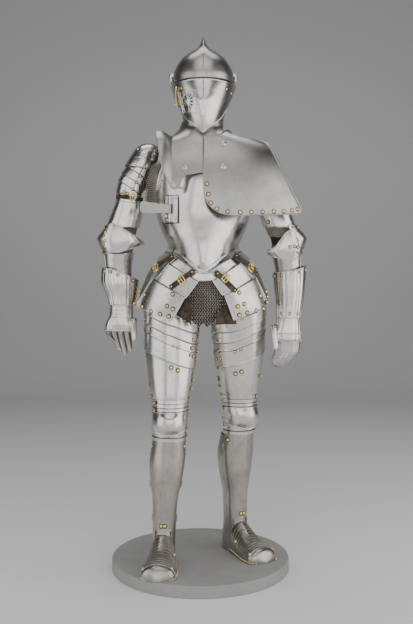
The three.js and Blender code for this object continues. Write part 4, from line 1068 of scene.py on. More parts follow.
@dataclass(frozen=True)
class Eye:
    """The place that the suit is seen from: a level camera, with sizes in points of a 413 by 624 frame."""

    distance: float = 3100.0
    x: float = 20.7
    height: float = 1066.6
    focal: float = 898.7
    centre: tuple[float, float] = (206.5, 256.7)

    def seen(self, point: Array) -> Array:
        """Where a point of the suit's frame falls in the frame of the picture."""
        scale = (self.distance + point[..., 1] + SUIT_AT[1]) / self.focal
        across = self.centre[0] + (point[..., 0] + SUIT_AT[0] - self.x) / scale
        down = self.centre[1] - (point[..., 2] + SUIT_AT[2] - self.height) / scale
        return np.stack([across, down], axis=-1)

    def find(
        self, form: Surface, places: Sequence[tuple[float, float]], guess: tuple[float, float], reach: float,
        lift: float = 0.0,
    ) -> tuple[Array, Array]:
        """The points of any surface that places of the frame show, by Newton's steps from a guess.

        Args:
            form: The surface.
            places: Across and down in the frame.
            guess: The surface's two numbers to start from.
            reach: The most that the first number may be, either way.
            lift: How far the points stand off the surface.

        Returns:
            The points and the outward normals.
        """
        goal = np.array(places, float)
        u, v = np.full(len(goal), guess[0]), np.full(len(goal), guess[1])
        for _ in range(24):
            now = self.seen(form(u, v, lift))
            along = self.seen(form(u + 0.5, v, lift)) - now
            rise = self.seen(form(u, v + 0.5, lift)) - now
            miss = goal - now
            area = along[:, 0] * rise[:, 1] - along[:, 1] * rise[:, 0]
            area = np.where(np.abs(area) < 1e-6, 1e-6, area)
            step_u = 0.5 * (miss[:, 0] * rise[:, 1] - miss[:, 1] * rise[:, 0]) / area
            step_v = 0.5 * (along[:, 0] * miss[:, 1] - along[:, 1] * miss[:, 0]) / area
            u = np.clip(u + np.clip(step_u, -12, 12), -reach, reach)
            v = v + np.clip(step_v, -25, 25)
        return form(u, v, lift), form.normal(u, v)

    def on(self, form: Form, place: tuple[float, float], lift: float = 0.0) -> tuple[Array, Array]:
        """The point of a form's front that a place of the frame shows, and its normal.

        Args:
            form: The surface.
            place: Across and down in the frame.
            lift: How far the point stands off the surface.

        Returns:
            The point and the outward normal.
        """
        depth = -150.0
        x = z = 0.0
        for _ in range(8):
            scale = (self.distance + depth + SUIT_AT[1]) / self.focal
            x = self.x + (place[0] - self.centre[0]) * scale - SUIT_AT[0]
            z = self.height - SUIT_AT[2] - (place[1] - self.centre[1]) * scale
            depth = float(form.across(np.array(x), np.array(z), lift)[1])
        angle = form.angle_at(np.array(x), np.array(z))
        return form(angle, np.array(z), lift), form.normal(angle, np.array(z))

    def row(
        self, form: Form, places: Sequence[tuple[float, float]], lift: float = 0.0
    ) -> tuple[Array, Array]:
        """The points and normals for several places."""
        found = [self.on(form, place, lift) for place in places]
        return np.array([point for point, _ in found]), np.array([normal for _, normal in found])


EYE = Eye()


RIVET = {"radius": 5.8, "height": 4.0}
SMALL_RIVET = {"radius": 4.6, "height": 3.2}
SHANK_REACH = 100.0


def rolled(
    band: Band, radius: float = 2.6, *, top: bool = True, bottom: bool = True, inset: float = 0.0
) -> Shape:
    """Rolled edges along a band's top and bottom."""
    shapes = []
    for wanted, at_top in ((top, True), (bottom, False)):
        if wanted:
            path, normals = band.rim(at_top, inset)
            shapes.append(tube(path, normals, radius, closed=band.closed))
    return merged(shapes)


def seam(form: Surface, line: Edge, start: float, end: float, lift: float, radius: float = 1.2) -> Shape:
    """A painted shadow line where one plate slips under another: a thin dark bar along the edge line."""
    angles = stations(start, end, 3)
    z = line(angles)
    return tube(form(angles, z, lift), form.normal(angles, z), radius, sides=6)


def rivet_line(band: Band, angles: Sequence[float], top: bool, inset: float, **size: float) -> Shape:
    """Rivets along a band's edge at the angles given."""
    angles = np.asarray(angles, float)
    line = as_edge(band.high if top else band.low)(angles)
    heights = line + (-inset if top else inset)
    low, high = as_edge(band.low)(angles), as_edge(band.high)(angles)
    bottom = band.lift if band.lower is None else band.lower
    lift = bottom + (band.lift - bottom) * (heights - low) / (high - low)
    if band.swell is not None:
        lift = lift + band.swell(angles, heights)
    return studs(band.form(angles, heights, lift), band.form.normal(angles, heights), **(size or RIVET))


def screw(point: Array, normal: Array, radius: float = 9.0, height: float = 4.0, slot: float = 1.4) -> Shape:
    """A domed screw head with a slot across it."""
    normal = unit(normal)
    side = unit(np.cross(np.array([0.3, 0.0, 1.0]), normal))
    other = np.cross(normal, side)
    turn = np.linspace(0, 2 * np.pi, 33)[:-1]
    share = np.array([1.0, 1.0, 0.96, 0.85, 0.7, 0.5, 0.3, 0.1, 0.02])
    rise = np.concatenate([[-0.6], np.sqrt(np.maximum(1 - share[1:] ** 2, 0)) * 0.7 + 0.3])
    u, r = grid(turn, share)
    _, h = grid(turn, rise)
    across, along = r * radius * np.cos(u), r * radius * np.sin(u)
    cut = (np.abs(across) < slot) & (h > 0.3)
    up = np.where(cut, 0.28, h) * height
    points = point + across[..., None] * side + along[..., None] * other + up[..., None] * normal
    count, rings = points.shape[:2]
    j, i = np.meshgrid(np.arange(count), np.arange(rings - 1), indexing="ij")
    j, i = j.ravel(), i.ravel()
    after = (j + 1) % count
    quads = np.stack([j * rings + i, after * rings + i, after * rings + i + 1, j * rings + i + 1], axis=-1)
    middle = point + 0.28 * height * normal
    top = np.arange(count)
    tris = np.stack(
        [top * rings + rings - 1, ((top + 1) % count) * rings + rings - 1, np.full(count, count * rings)],
        axis=-1
    )
    return Shape(np.concatenate([points.reshape(-1, 3), middle[None]]), quads, tris)


class Helmet:
    """The closed helmet: skull with its comb, bevor, neck plate, visor with its pivots, and breath door."""

    brow = edge(
        (-180, 1486), (-130, 1500), (-105, 1560), (-88, 1622), (-60, 1625.5), (0, 1627.5), (60, 1625.5),
        (88, 1622),
        (105, 1560), (130, 1500), (180, 1486),
    )
    bevor_top = edge(
        (-138, 1496), (-120, 1546), (-100, 1590), (-80, 1625), (-60, 1600), (0, 1520), (60, 1600),
        (80, 1625),
        (100, 1590), (120, 1546), (138, 1496),
    )
    visor_top = edge(
        (-97, 1655), (-88, 1655), (-74, 1626), (-60, 1615), (0, 1617), (60, 1615), (74, 1626), (88, 1655),
        (97, 1655)
    )
    visor_bottom = edge(
        (-97, 1643), (-88, 1640), (-75, 1590), (-60, 1530), (-45, 1490), (-22, 1463), (0, 1441), (22, 1463),
        (45, 1490), (60, 1530), (75, 1590), (88, 1640), (97, 1643),
    )
    pivot_height = 1652.0
    pivot_reach = 114.0
    comb = 1788.0

    def __init__(self, shop: Workshop) -> None:
        """Makes all the helmet's pieces."""
        self.shop = shop
        self.skull()
        self.lower_plates()
        self.visor()
        self.door()
        self.pivots()

    def skull(self) -> None:
        """The skull: a dome that narrows to a sharp comb, with a rolled brow."""
        angles = np.linspace(-180, 180, 97)[:-1]
        shells = []
        for top, lift in ((self.comb - 1, 0.0), (self.comb - 12, -WALL)):
            share = np.linspace(0, 1, 46)[:-1] ** 0.8
            u, t = grid(angles, share)
            low = self.brow(angles)[:, None]
            shells.append(HEAD(u, low + (top - low) * t, lift))
        outer, inner = shells
        count = len(outer)
        shape = wall(outer, inner, closed=True)
        caps = []
        for shell, height in ((outer, self.comb), (inner, self.comb - 10)):
            ring = shell[:, -1]
            tip = np.array([[0.0, 6.0, height]])
            first = np.arange(count)
            caps.append(Shape(
                np.concatenate([ring, tip]),
                tris=np.stack([first, (first + 1) % count, np.full(count, count)], axis=-1),
            ))
        keel_z = np.linspace(1640, self.comb, 40)
        spine = []
        for angle in (0.0, 180.0):
            path = HEAD(np.full_like(keel_z, angle), keel_z, -0.6)
            radius = 0.6 + 1.1 * np.sin(np.linspace(0, np.pi, len(path)))
            spine.append(tube(path, np.tile([1.0, 0.0, 0.0], (len(path), 1)), radius))
        brow = tube(
            HEAD(angles, self.brow(angles) + 0.5, -0.4), HEAD.normal(angles, self.brow(angles)), 1.6,
            closed=True
        )
        self.shop.put("skull", merged([shape, *caps, *spine, brow]), Slot.SATIN, replaces=["helmet_skull"])

    def lower_plates(self) -> None:
        """The bevor under the visor and the plate round the nape."""
        bevor = Band(HEAD, -137, 137, 1476, self.bevor_top, lift=-LAP, step=3)
        self.shop.put(
            "bevor", merged([bevor.shape(), rolled(bevor, 1.8)]), Slot.SATIN, replaces=["helmet_bevor"]
        )
        nape = Band(HEAD, 82, 278, 1418, 1508, lift=-2.4 * LAP, step=3)
        rivets = rivet_line(nape, np.linspace(95, 265, 9), False, 12, **SMALL_RIVET)
        self.shop.put(
            "nape", merged([nape.shape(), rolled(nape, 2.4, top=False)]), Slot.SATIN,
            replaces=["neck_plate"]
        )
        self.shop.put("nape_rivets", rivets, Slot.GILT)

    def visor(self) -> None:
        """The visor's prow: its grid runs straight beside the opening that the breath door covers."""
        columns = np.linspace(-1, 1, 141)
        u, t = grid(columns, np.linspace(0, 1, 76))
        rim = 0.62
        reach = 66.0

        def angle_of(share: Array, z: Array) -> Array:
            near = PROW.angle_at(share / rim * reach, z)
            limit = PROW.angle_at(np.full_like(z, reach), z)
            beyond = limit + (97 - limit) * (np.abs(share) - rim) / (1 - rim)
            return np.where(np.abs(share) < rim, near, np.sign(share) * beyond)

        z = 1500 + 120 * t
        for _ in range(6):
            angle = angle_of(u, z)
            low, high = self.visor_bottom(angle), self.visor_top(angle)
            z = low + (high - low) * t
        angle = angle_of(u, z)
        x = u / rim * reach
        middle_x, middle_z = (x[:-1, :-1] + x[1:, 1:]) / 2, (z[:-1, :-1] + z[1:, 1:]) / 2
        hole = (middle_x > -58) & (middle_x < -30) & (middle_z > 1518) & (middle_z < 1570)
        shape = wall(PROW(angle, z), PROW(angle, z, -WALL), keep=~hole)
        band = Band(PROW, -97, 97, self.visor_bottom, self.visor_top, step=2)
        edges = [rolled(band, 2.0, bottom=False), rolled(band, 2.2, top=False)]
        spine_z = np.linspace(1446, 1618, 60)
        spine = tube(PROW(np.zeros(60), spine_z, -0.4), np.tile([1.0, 0.0, 0.0], (60, 1)), 1.6)
        self.shop.put(
            "visor_prow", merged([shape, *edges, spine]), Slot.BRIGHT, body="visor", replaces=["visor"]
        )
        places = [(181.5, 88.5), (226.5, 89.0), (231.0, 93.5)]
        points, normals = EYE.row(PROW, places, 0.2)
        self.shop.put("visor_rivets", studs(points, normals, **SMALL_RIVET), Slot.GILT, body="visor")

    def door(self) -> None:
        """The breath door keeps its solid, and gains a rim, a stud to open it by and a hook."""
        self.shop.keep("breath_door", Slot.BRIGHT)
        corners = np.array([(-60.0, 1511.0), (-24.0, 1500.0), (-24.0, 1577.0), (-77.0, 1577.0)])
        spots = []
        for start, end in zip(corners, np.roll(corners, -1, axis=0)):
            share = np.linspace(0, 1, 12, endpoint=False)[:, None]
            spots.append(start + (end - start) * share)
        ring = np.concatenate(spots)
        angle = PROW.angle_at(ring[:, 0], ring[:, 1])
        rim = tube(PROW(angle, ring[:, 1], WALL + 1.3), PROW.normal(angle, ring[:, 1]), 1.1, closed=True)
        self.shop.put("door_rim", rim, Slot.BRIGHT, body="breath_door")
        turn = np.linspace(0, 2 * np.pi, 36, endpoint=False)
        x, z = -51 + 18.5 * np.cos(turn), 1541 + 29.5 * np.sin(turn)
        angle = PROW.angle_at(x, z)
        border = tube(PROW(angle, z, WALL + 1.2), PROW.normal(angle, z), 0.9, closed=True)
        hub_point, hub_normal = EYE.on(PROW, (187.2, 102.0), WALL + 1.2)
        hub = studs(hub_point, hub_normal, 4.2, 2.6, sides=14)
        self.shop.put("rosette_border", merged([border, hub]), Slot.BRIGHT, body="breath_door")
        stud_point, stud_normal = EYE.on(PROW, (195.0, 92.5), WALL + 1.0)
        self.shop.put(
            "door_stud", studs(stud_point, stud_normal, 4.0, 5.0, sides=14), Slot.SATIN, body="breath_door"
        )
        points, normals = EYE.row(PROW, [(177.4, 87.4), (177.0, 92.0), (177.2, 98.0), (177.9, 104.5)], 5.0)
        hook = tube(points, normals, np.array([2.0, 1.6, 1.6, 2.0]), sides=8)
        ball = studs(points[-1:], normals[-1:], 4.2, 4.4, sides=12, rings=4)
        pin = studs(points[:1], normals[:1], 3.6, 3.0, sides=12)
        self.shop.put("door_hook", merged([hook, ball, pin]), Slot.GILT, body="visor")

    def pivots(self) -> None:
        """The pivot pins under their rosette heads, and the forked arms that carry the visor."""
        for side, sign in (("right", -1), ("left", 1)):
            point = np.array([[sign * (self.pivot_reach + 0.5), 0.0, self.pivot_height]])
            normal = np.array([[float(sign), 0.0, 0.0]])
            pin = studs(point - 6 * normal, normal, 10.0, 10.0, sides=20, rings=5)
            shank = tube(
                np.stack([point[0] - 22 * normal[0], point[0] - 4 * normal[0]]),
                np.tile([0.0, 0.0, 1.0], (2, 1)), 4.0, sides=14
            )
            self.shop.put(f"{side}_pivot", merged([pin, shank]), Slot.BRIGHT)
            z = np.linspace(1652, 1612, 12)
            angle = np.linspace(92, 76, 12) * sign
            fork = tube(PROW(angle, z, 0.6), PROW.normal(angle, z), np.linspace(5.0, 2.0, 12))
            self.shop.put(f"{side}_fork", fork, Slot.DARK, body="visor")


@dataclass(frozen=True)
class Sheet:
    """A plate cut in columns across a form's front, with a bottom and a top edge for each x."""

    form: Form
    low: Curve
    high: Curve
    lift: float = 0.0
    swell: Callable[[Array], Array] | None = None
    step: float = 4.0

    def places(self) -> tuple[Array, Array, Array]:
        """The grid's x, z and lift."""
        x = stations(float(self.low.places[0]), float(self.low.places[-1]), self.step)
        low, high = self.low(x), self.high(x)
        rows = max(3, round(float(np.max(high - low)) / 5) + 1)
        u, t = grid(x, np.linspace(0, 1, rows))
        lift = np.full_like(u, self.lift)
        if self.swell is not None:
            lift = lift + self.swell(u)
        return u, low[:, None] + (high - low)[:, None] * t, lift

    def shape(self) -> Shape:
        """The plate's wall."""
        u, v, lift = self.places()
        return wall(self.form.across(u, v, lift), self.form.across(u, v, lift - WALL))

    def rim(self, radius: float) -> Shape:
        """A rolled edge all round the plate."""
        u, v, lift = self.places()
        loops = [
            (part[:, 0], part[-1, 1:], part[-2::-1, -1], part[0, -2:0:-1]) for part in (u, v, lift)
        ]
        x, z, up = (np.concatenate(loop) for loop in loops)
        angle = self.form.angle_at(x, z)
        return tube(self.form(angle, z, up - WALL / 2), self.form.normal(angle, z), radius, closed=True)


class Trunk:
    """The breastplate and backplate, the two plates over the chest and shoulder, and the lance rest."""

    breast_top = edge(
        (-88, 1212), (-80, 1226), (-68, 1262), (-58, 1325), (-48, 1385), (-36, 1404), (0, 1384), (36, 1404),
        (48, 1385), (58, 1325), (68, 1262), (80, 1226), (88, 1212),
    )
    breast_bottom = edge(
        (-88, 1057), (-60, 1052), (-40, 1032), (-20, 1000), (0, 980), (20, 1000), (40, 1032), (60, 1052),
        (88, 1057)
    )
    back_top = edge(
        (84, 1208), (96, 1232), (112, 1310), (124, 1385), (140, 1412), (180, 1396), (220, 1412), (236, 1385),
        (248, 1310), (264, 1232), (276, 1208),
    )
    chest_low = edge(
        (-147, 1408), (-143, 1392), (-136, 1352), (-126, 1306), (-114, 1276), (-104, 1252), (-93, 1249),
        (-80, 1257), (-70, 1284), (-57, 1297), (-40, 1300), (-20, 1303), (0, 1306), (20, 1310), (42, 1315),
        (58, 1322), (66, 1336),
    )
    chest_high = edge(
        (-147, 1424), (-143, 1426), (-136, 1426), (-126, 1427), (-114, 1426), (-104, 1431), (-93, 1447),
        (-80, 1470), (-70, 1487), (-57, 1487), (-40, 1482), (-20, 1474), (0, 1462), (20, 1472), (42, 1484),
        (58, 1487), (66, 1487),
    )
    targe_low = edge(
        (1, 1262), (6, 1228), (13, 1205), (31, 1183), (58, 1168), (82, 1163), (98, 1161), (122, 1161),
        (152, 1162), (180, 1163), (203, 1164), (222, 1165), (240, 1166), (262, 1167), (285, 1168),
        (308, 1169),
        (327, 1170),
    )
    targe_high = edge(
        (1, 1423), (6, 1424), (13, 1425), (31, 1427), (58, 1433), (82, 1451), (98, 1434), (122, 1424),
        (152, 1420), (180, 1419), (203, 1411), (222, 1389), (240, 1355), (262, 1310), (285, 1263),
        (308, 1219),
        (327, 1183),
    )
    crease = -104.0
    flare = 34.0
    flare_reach = 46.0
    targe_lift = WALL + 5

    def __init__(self, shop: Workshop) -> None:
        """Makes all the trunk's pieces."""
        self.shop = shop
        self.cuirass()
        self.chest_plate()
        self.targe()
        self.lance_rest()

    def cuirass(self) -> None:
        """The breastplate with its medial ridge and rolled arm holes, and the backplate."""
        breast = Band(
            TORSO, -88, 88, self.breast_bottom, self.breast_top, step=2, rise=6, swell=self.chest_fill
        )
        flange = self.waist_flange(-88, 88, self.breast_bottom, 0.0)
        ridge_z = np.linspace(984, 1290, 80)
        ridge = tube(
            TORSO(np.zeros(80), ridge_z, self.chest_fill(np.zeros(80), ridge_z) - 1.0),
            np.tile([1.0, 0.0, 0.0], (80, 1)), 0.8
        )
        holes = merged([self.arm_hole(sign) for sign in (-1, 1)])
        shape = merged([breast.shape(), rolled(breast, 2.4, top=False), flange, ridge, holes])
        self.shop.put("breast", shape, Slot.BRIGHT, replaces=["breastplate"])
        back = Band(TORSO, 84, 276, 1058, self.back_top, lift=-4, step=3)
        spine_z = np.linspace(1062, 1392, 60)
        spine = tube(TORSO(np.full(60, 180.0), spine_z, -5.0), np.tile([1.0, 0.0, 0.0], (60, 1)), 2.0)
        shape = merged(
            [back.shape(), rolled(back, 3.0), self.waist_flange(84, 276, level(1058), -4.0), spine]
        )
        self.shop.put("back", shape, Slot.BRIGHT, replaces=["backplate"])
        rivets = [
            rivet_line(back, np.linspace(100, 260, 11), False, 16, **SMALL_RIVET),
            rivet_line(back, np.array([92.0, 104.0, 116.0, 244.0, 256.0, 268.0]), True, 14, **SMALL_RIVET),
        ]
        self.shop.put("back_rivets", merged(rivets), Slot.GILT)

    @staticmethod
    def chest_fill(angle: Array, z: Array) -> Array:
        """How far the breast swells to lie close under the chest plate: the gap, faded at its edges."""
        points = TORSO.bare(angle, z)
        x = points[..., 0]
        gap = np.maximum(points[..., 1] - GUARD.across(x, z)[..., 1] - 4.5, 0)
        rising = np.clip((z - 1150) / 150, 0, 1)
        right = np.clip((x + 102) / 100, 0, 1)
        left = np.clip((90 - x) / 60, 0, 1)
        fade = [share * share * (3 - 2 * share) for share in (rising, right, left)]
        return 19 * np.tanh(gap / 19) * fade[0] * fade[1] * fade[2]

    def waist_flange(self, start: float, end: float, line: Edge, lift: float) -> Shape:
        """The waist's flange: a narrow band that flares out below the edge."""
        angles = stations(start, end, 2)
        low = line(angles)
        u, t = grid(angles, np.linspace(0, 1, 5))
        z = low[:, None] + 8 * t - 3
        out = lift + 1.2 + 2.6 * (1 - t) ** 2
        return wall(TORSO(u, z, out), TORSO(u, z, out - 1.2))

    def arm_hole(self, sign: int) -> Shape:
        """The turned edge at an arm hole, on the breastplate's side."""
        angles = sign * np.linspace(50, 87, 50)
        z = self.breast_top(angles)
        return tube(TORSO(angles, z - 2, 1.5), TORSO.normal(angles, z), 4.2)

    def chest_plate(self) -> None:
        """The right chest plate with its forward flange, its slotted screws and its scrolled lower edge."""

        def swell(x: Array) -> Array:
            share = np.clip((self.crease - x) / self.flare_reach, 0, 1)
            return self.flare * share * (2 - share)

        sheet = Sheet(GUARD, self.chest_low, self.chest_high, swell=swell, step=3)
        shape = merged([sheet.shape(), sheet.rim(2.1)])
        bolts = merged([self.bolt(place, 0.0) for place in ((185.3, 167.5), (173.3, 184.8))])
        self.shop.put("chest_guard", shape, Slot.SATIN, replaces=["chest_plate_right"])
        self.shop.put("chest_screws", bolts, Slot.BRIGHT)

    def bolt(self, place: tuple[float, float], lift: float, radius: float = 8.0) -> Shape:
        """A slotted screw. Near the middle of the chest its shank runs back to the breastplate."""
        point, normal = EYE.on(GUARD, place, lift)
        head = screw(point, normal, radius, 5.0)
        if abs(point[0]) > SHANK_REACH:
            return head
        behind = point.copy()
        behind[1] = float(TORSO.across(np.array(point[0]), np.array(point[2]), 0.2)[1])
        shank = tube(np.stack([point, behind]), np.tile([0.0, 0.0, 1.0], (2, 1)), 3.6, sides=12)
        return merged([head, shank])

    def targe(self) -> None:
        """The shoulder targe: one broad plate with a rolled edge, a turned strip, rivets and two screws."""
        sheet = Sheet(GUARD, self.targe_low, self.targe_high, lift=self.targe_lift, step=4)
        x = np.linspace(206, 322, 60)
        z = self.targe_high(x)
        angle = GUARD.angle_at(x, z)
        strip_points = GUARD(angle, z - 3, self.targe_lift + 0.6)
        turned_edge = tube(strip_points, GUARD.normal(angle, z), 3.6)
        shape = merged([sheet.shape(), sheet.rim(2.4), turned_edge])
        self.shop.put("targe", shape, Slot.SATIN, replaces=["targe_left"])
        bolts = merged(
            [self.bolt(place, self.targe_lift, 10.0) for place in ((223.2, 144.0), (223.2, 167.0))]
        )
        self.shop.put("targe_screws", bolts, Slot.BRIGHT)
        places = [
            (206.8, 184.0), (208.3, 194.5), (210.6, 203.0), (216.7, 209.0), (227.5, 212.0), (240.0, 212.6),
            (251.0, 212.4), (262.0, 212.2), (273.0, 211.7), (282.6, 211.4), (290.8, 210.6), (296.0, 209.6),
        ]
        points, normals = EYE.row(GUARD, places, self.targe_lift)
        self.shop.put("targe_rivets", studs(points, normals, **RIVET), Slot.GILT)

    def lance_rest(self) -> None:
        """The lance rest keeps its solids, over a leather washer, with bright screws in its plate."""
        self.shop.keep("lance_rest_plate", Slot.BRIGHT)
        self.shop.keep("lance_rest_arm", Slot.DARK)
        x, z = np.linspace(-127.5, -79.5, 9), np.linspace(1136.5, 1232.5, 14)
        u, v = grid(x, z)
        washer = wall(TORSO.across(u, v, 1.1), TORSO.across(u, v, 0.3))
        self.shop.put("rest_washer", washer, Slot.LEATHER)
        points, normals = [], []
        for spot in ((-118.0, 1150.0), (-89.0, 1150.0), (-118.0, 1220.0), (-89.0, 1220.0)):
            angle = TORSO.angle_at(np.array(spot[0]), np.array(spot[1]))
            points.append(TORSO(angle, np.array(spot[1]), 3.9))
            normals.append(TORSO.normal(angle, np.array(spot[1])))
        knuckles = studs(
            *EYE.row(TORSO, [(169.6, 206.2), (169.6, 211.2), (169.6, 216.0)], 18.0), 6.0, 4.0, sides=14
        )
        self.shop.put("rest_knuckles", knuckles, Slot.BRIGHT)
        heads = merged([screw(point, normal, 4.4, 2.2, 0.7) for point, normal in zip(points, normals)])
        self.shop.put("rest_screws", heads, Slot.BRIGHT)


@dataclass(frozen=True)
class Flap:
    """A four-cornered plate across a form's front, with a crown that swells its middle."""

    corners: tuple[tuple[float, float], ...]
    lift: float
    crown: float = 3.0

    def points(self, s: Array, t: Array, lift: Array | float = 0.0) -> tuple[Array, Array]:
        """The points and normals at shares of the plate's width and height."""
        a, b, c, d = (np.array(corner) for corner in self.corners)
        low = a + (b - a) * s[..., None]
        high = d + (c - d) * s[..., None]
        place = low + (high - low) * t[..., None]
        angle = HIPS.angle_at(place[..., 0], place[..., 1])
        rise = self.lift + self.crown * np.sin(np.pi * np.clip(s, 0, 1)) + lift
        return HIPS(angle, place[..., 1], rise), HIPS.normal(angle, place[..., 1])

    def shape(self) -> Shape:
        """The plate's wall."""
        s, t = grid(np.linspace(0, 1, 25), np.linspace(0, 1, 21))
        return wall(self.points(s, t)[0], self.points(s, t, -WALL)[0])

    def rim(self, radius: float = 1.7) -> Shape:
        """A rolled edge all round."""
        share = np.linspace(0, 1, 24, endpoint=False)
        none, full = np.zeros_like(share), np.ones_like(share)
        s = np.concatenate([share, full, 1 - share, none])
        t = np.concatenate([none, share, full, 1 - share])
        points, normals = self.points(s, t, -WALL / 2)
        return tube(points, normals, radius, closed=True)

    def rivets(self, spots: Sequence[tuple[float, float]], **size: float) -> Shape:
        """Rivets at shares of the plate."""
        s, t = (np.array([spot[k] for spot in spots]) for k in range(2))
        return studs(*self.points(s, t), **(size or RIVET))


class Hips:
    """The fauld, the tassets on their straps, the culet and the mail skirt."""

    flaps = {
        "tasset_right_upper": Flap(((-112, 1004), (-62, 966), (-22, 980), (-88, 1024)), 0.0),
        "tasset_right_middle": Flap(((-157, 948), (-56, 892), (-15, 947), (-112, 1004)), 3.2),
        "tasset_right_lower": Flap(((-226, 862), (-101, 817), (-57, 897), (-163, 953)), 6.2),
        "tasset_left_upper": Flap(((54, 964), (106, 1001), (88, 1021), (18, 980)), 0.0),
        "tasset_left_middle": Flap(((62, 901), (164, 955), (120, 1005), (30, 949)), 3.2),
        "tasset_left_lower": Flap(((99, 819), (216, 866), (171, 957), (68, 902)), 6.2),
    }
    right_rivets = [
        (146.7, 295.0), (173.5, 294.0), (168.0, 305.7), (173.7, 308.6), (144.4, 306.8), (152.6, 311.0),
        (161.3, 313.7), (169.5, 316.0), (142.3, 291.8), (137.0, 303.8),
    ]
    left_rivets = [
        (238.0, 292.4), (258.4, 296.0), (263.7, 292.0), (243.0, 303.6), (236.8, 306.0), (238.5, 314.6),
        (246.0, 312.4), (254.4, 310.3), (261.3, 308.6), (264.8, 302.5), (265.2, 297.2),
    ]
    straps = [
        ((194.9, 270.6), (173.5, 287.4), (182.7, 279.3), 14.4),
        ((214.5, 272.0), (232.9, 291.0), (224.3, 277.8), 14.4),
        ((176.5, 258.0), (155.6, 270.6), (158.0, 268.6), 9.0),
        ((231.7, 257.0), (253.6, 273.3), (248.4, 268.6), 9.0),
    ]
    fauld_low = edge(
        (-100, 1028), (-60, 1016), (-30, 975), (-12, 952), (0, 948), (12, 952), (30, 975), (60, 1016),
        (100, 1028)
    )
    fauld_high = edge(
        (-100, 1056), (-60, 1050), (-40, 1030), (-20, 998), (0, 977), (20, 998), (40, 1030), (60, 1050),
        (100, 1056)
    )

    def __init__(self, shop: Workshop) -> None:
        """Makes all the hips' pieces."""
        self.shop = shop
        fauld = Band(HIPS, -98, 98, self.fauld_low, self.fauld_high, lift=-8, lower=-4.4, step=2)
        shop.put("fauld_lame", merged([fauld.shape(), rolled(fauld, 1.8)]), Slot.BRIGHT, replaces=["fauld"])
        for name, flap in self.flaps.items():
            shop.put(f"{name}_plate", merged([flap.shape(), flap.rim()]), Slot.BRIGHT, replaces=[name])
        self.sides()
        self.shadow_lines()
        self.rivets()
        self.patches()
        self.belts()
        self.mail()

    def sides(self) -> None:
        """The plates over the hips and the culet's three lames over the seat."""
        for side, sign in (("right", -1), ("left", 1)):
            start = -120 if sign < 0 else 40
            if sign < 0:
                top = edge((-118, 1030), (-80, 1040), (-38, 1000))
                hem = edge((-118, 900), (-80, 862), (-38, 868))
            else:
                top, hem = edge((38, 1000), (80, 1040), (118, 1030)), edge((38, 876), (80, 886), (118, 912))
            plate = Band(HIPS, start, start + 80, hem, top, lift=-10, step=3)
            lines = [self.groove(plate, share) for share in (0.33, 0.62)]
            shape = merged([plate.shape(), rolled(plate, 2.0), *lines])
            shop_name = f"tasset_{side}_side"
            self.shop.put(f"{shop_name}_plate", shape, Slot.DARK, replaces=[shop_name])
            rivets = rivet_line(plate, np.linspace(start + 6, start + 74, 9), False, 9, **SMALL_RIVET)
            self.shop.put(f"{shop_name}_rivets", rivets, Slot.GILT)
        lames, heads = [], []
        for i in range(3):
            low, high = 905 + 49 * i, 905 + 49 * (i + 1) + (4 if i < 2 else 0)
            lame = Band(HIPS, 100, 260, low, high, lift=-7 - LAP, lower=-7 + LAP, step=3)
            lames += [lame.shape(), rolled(lame, 1.8, top=False)]
            heads.append(
                rivet_line(lame, np.array([104.0, 142.0, 180.0, 218.0, 256.0]), True, 12, **SMALL_RIVET)
            )
        self.shop.put("culet_lames", merged(lames), Slot.DARK, replaces=["culet"])
        self.shop.put("culet_rivets", merged(heads), Slot.GILT)

    def shadow_lines(self) -> None:
        """Painted shadow lines between the lames of the fauld and the tassets: thin bars of dark leather."""
        lines = []
        for flap in self.flaps.values():
            share = np.linspace(0.02, 0.98, 30)
            points, normals = flap.points(share, np.full(30, 0.985), 0.9)
            lines.append(tube(points, normals, 1.3, sides=6))
        lines.append(seam(HIPS, lambda angle: self.fauld_high(angle) - 5, -92, 92, -7.0))
        self.shop.put("hip_shadow_lines", merged(lines), Slot.LEATHER)

    def patches(self) -> None:
        """The two leather patches beside the mail."""
        right = Flap(((-104, 836), (-42, 800), (-40, 866), (-60, 905)), -17.0, 0.0)
        left = Flap(((43, 799), (118, 800), (96, 880), (47, 838)), -17.0, 0.0)
        self.shop.put("hip_patches", merged([right.shape(), left.shape()]), Slot.LEATHER)

    def groove(self, plate: Band, share: float) -> Shape:
        """The edge of a lame that crosses a plate at a share of its height."""
        angles = stations(plate.start + 1, plate.end - 1, 3)
        low, high = as_edge(plate.low)(angles), as_edge(plate.high)(angles)
        z = low + (high - low) * share
        return tube(HIPS(angles, z, plate.lift - 0.2), HIPS.normal(angles, z), 1.6)

    def rivets(self) -> None:
        """The gilt rivets over the tassets, as they show from the front."""
        for side, places in (("right", self.right_rivets), ("left", self.left_rivets)):
            points, normals = EYE.row(HIPS, places, 9.6)
            self.shop.put(f"tasset_{side}_rivets", studs(points, normals, **RIVET), Slot.GILT)

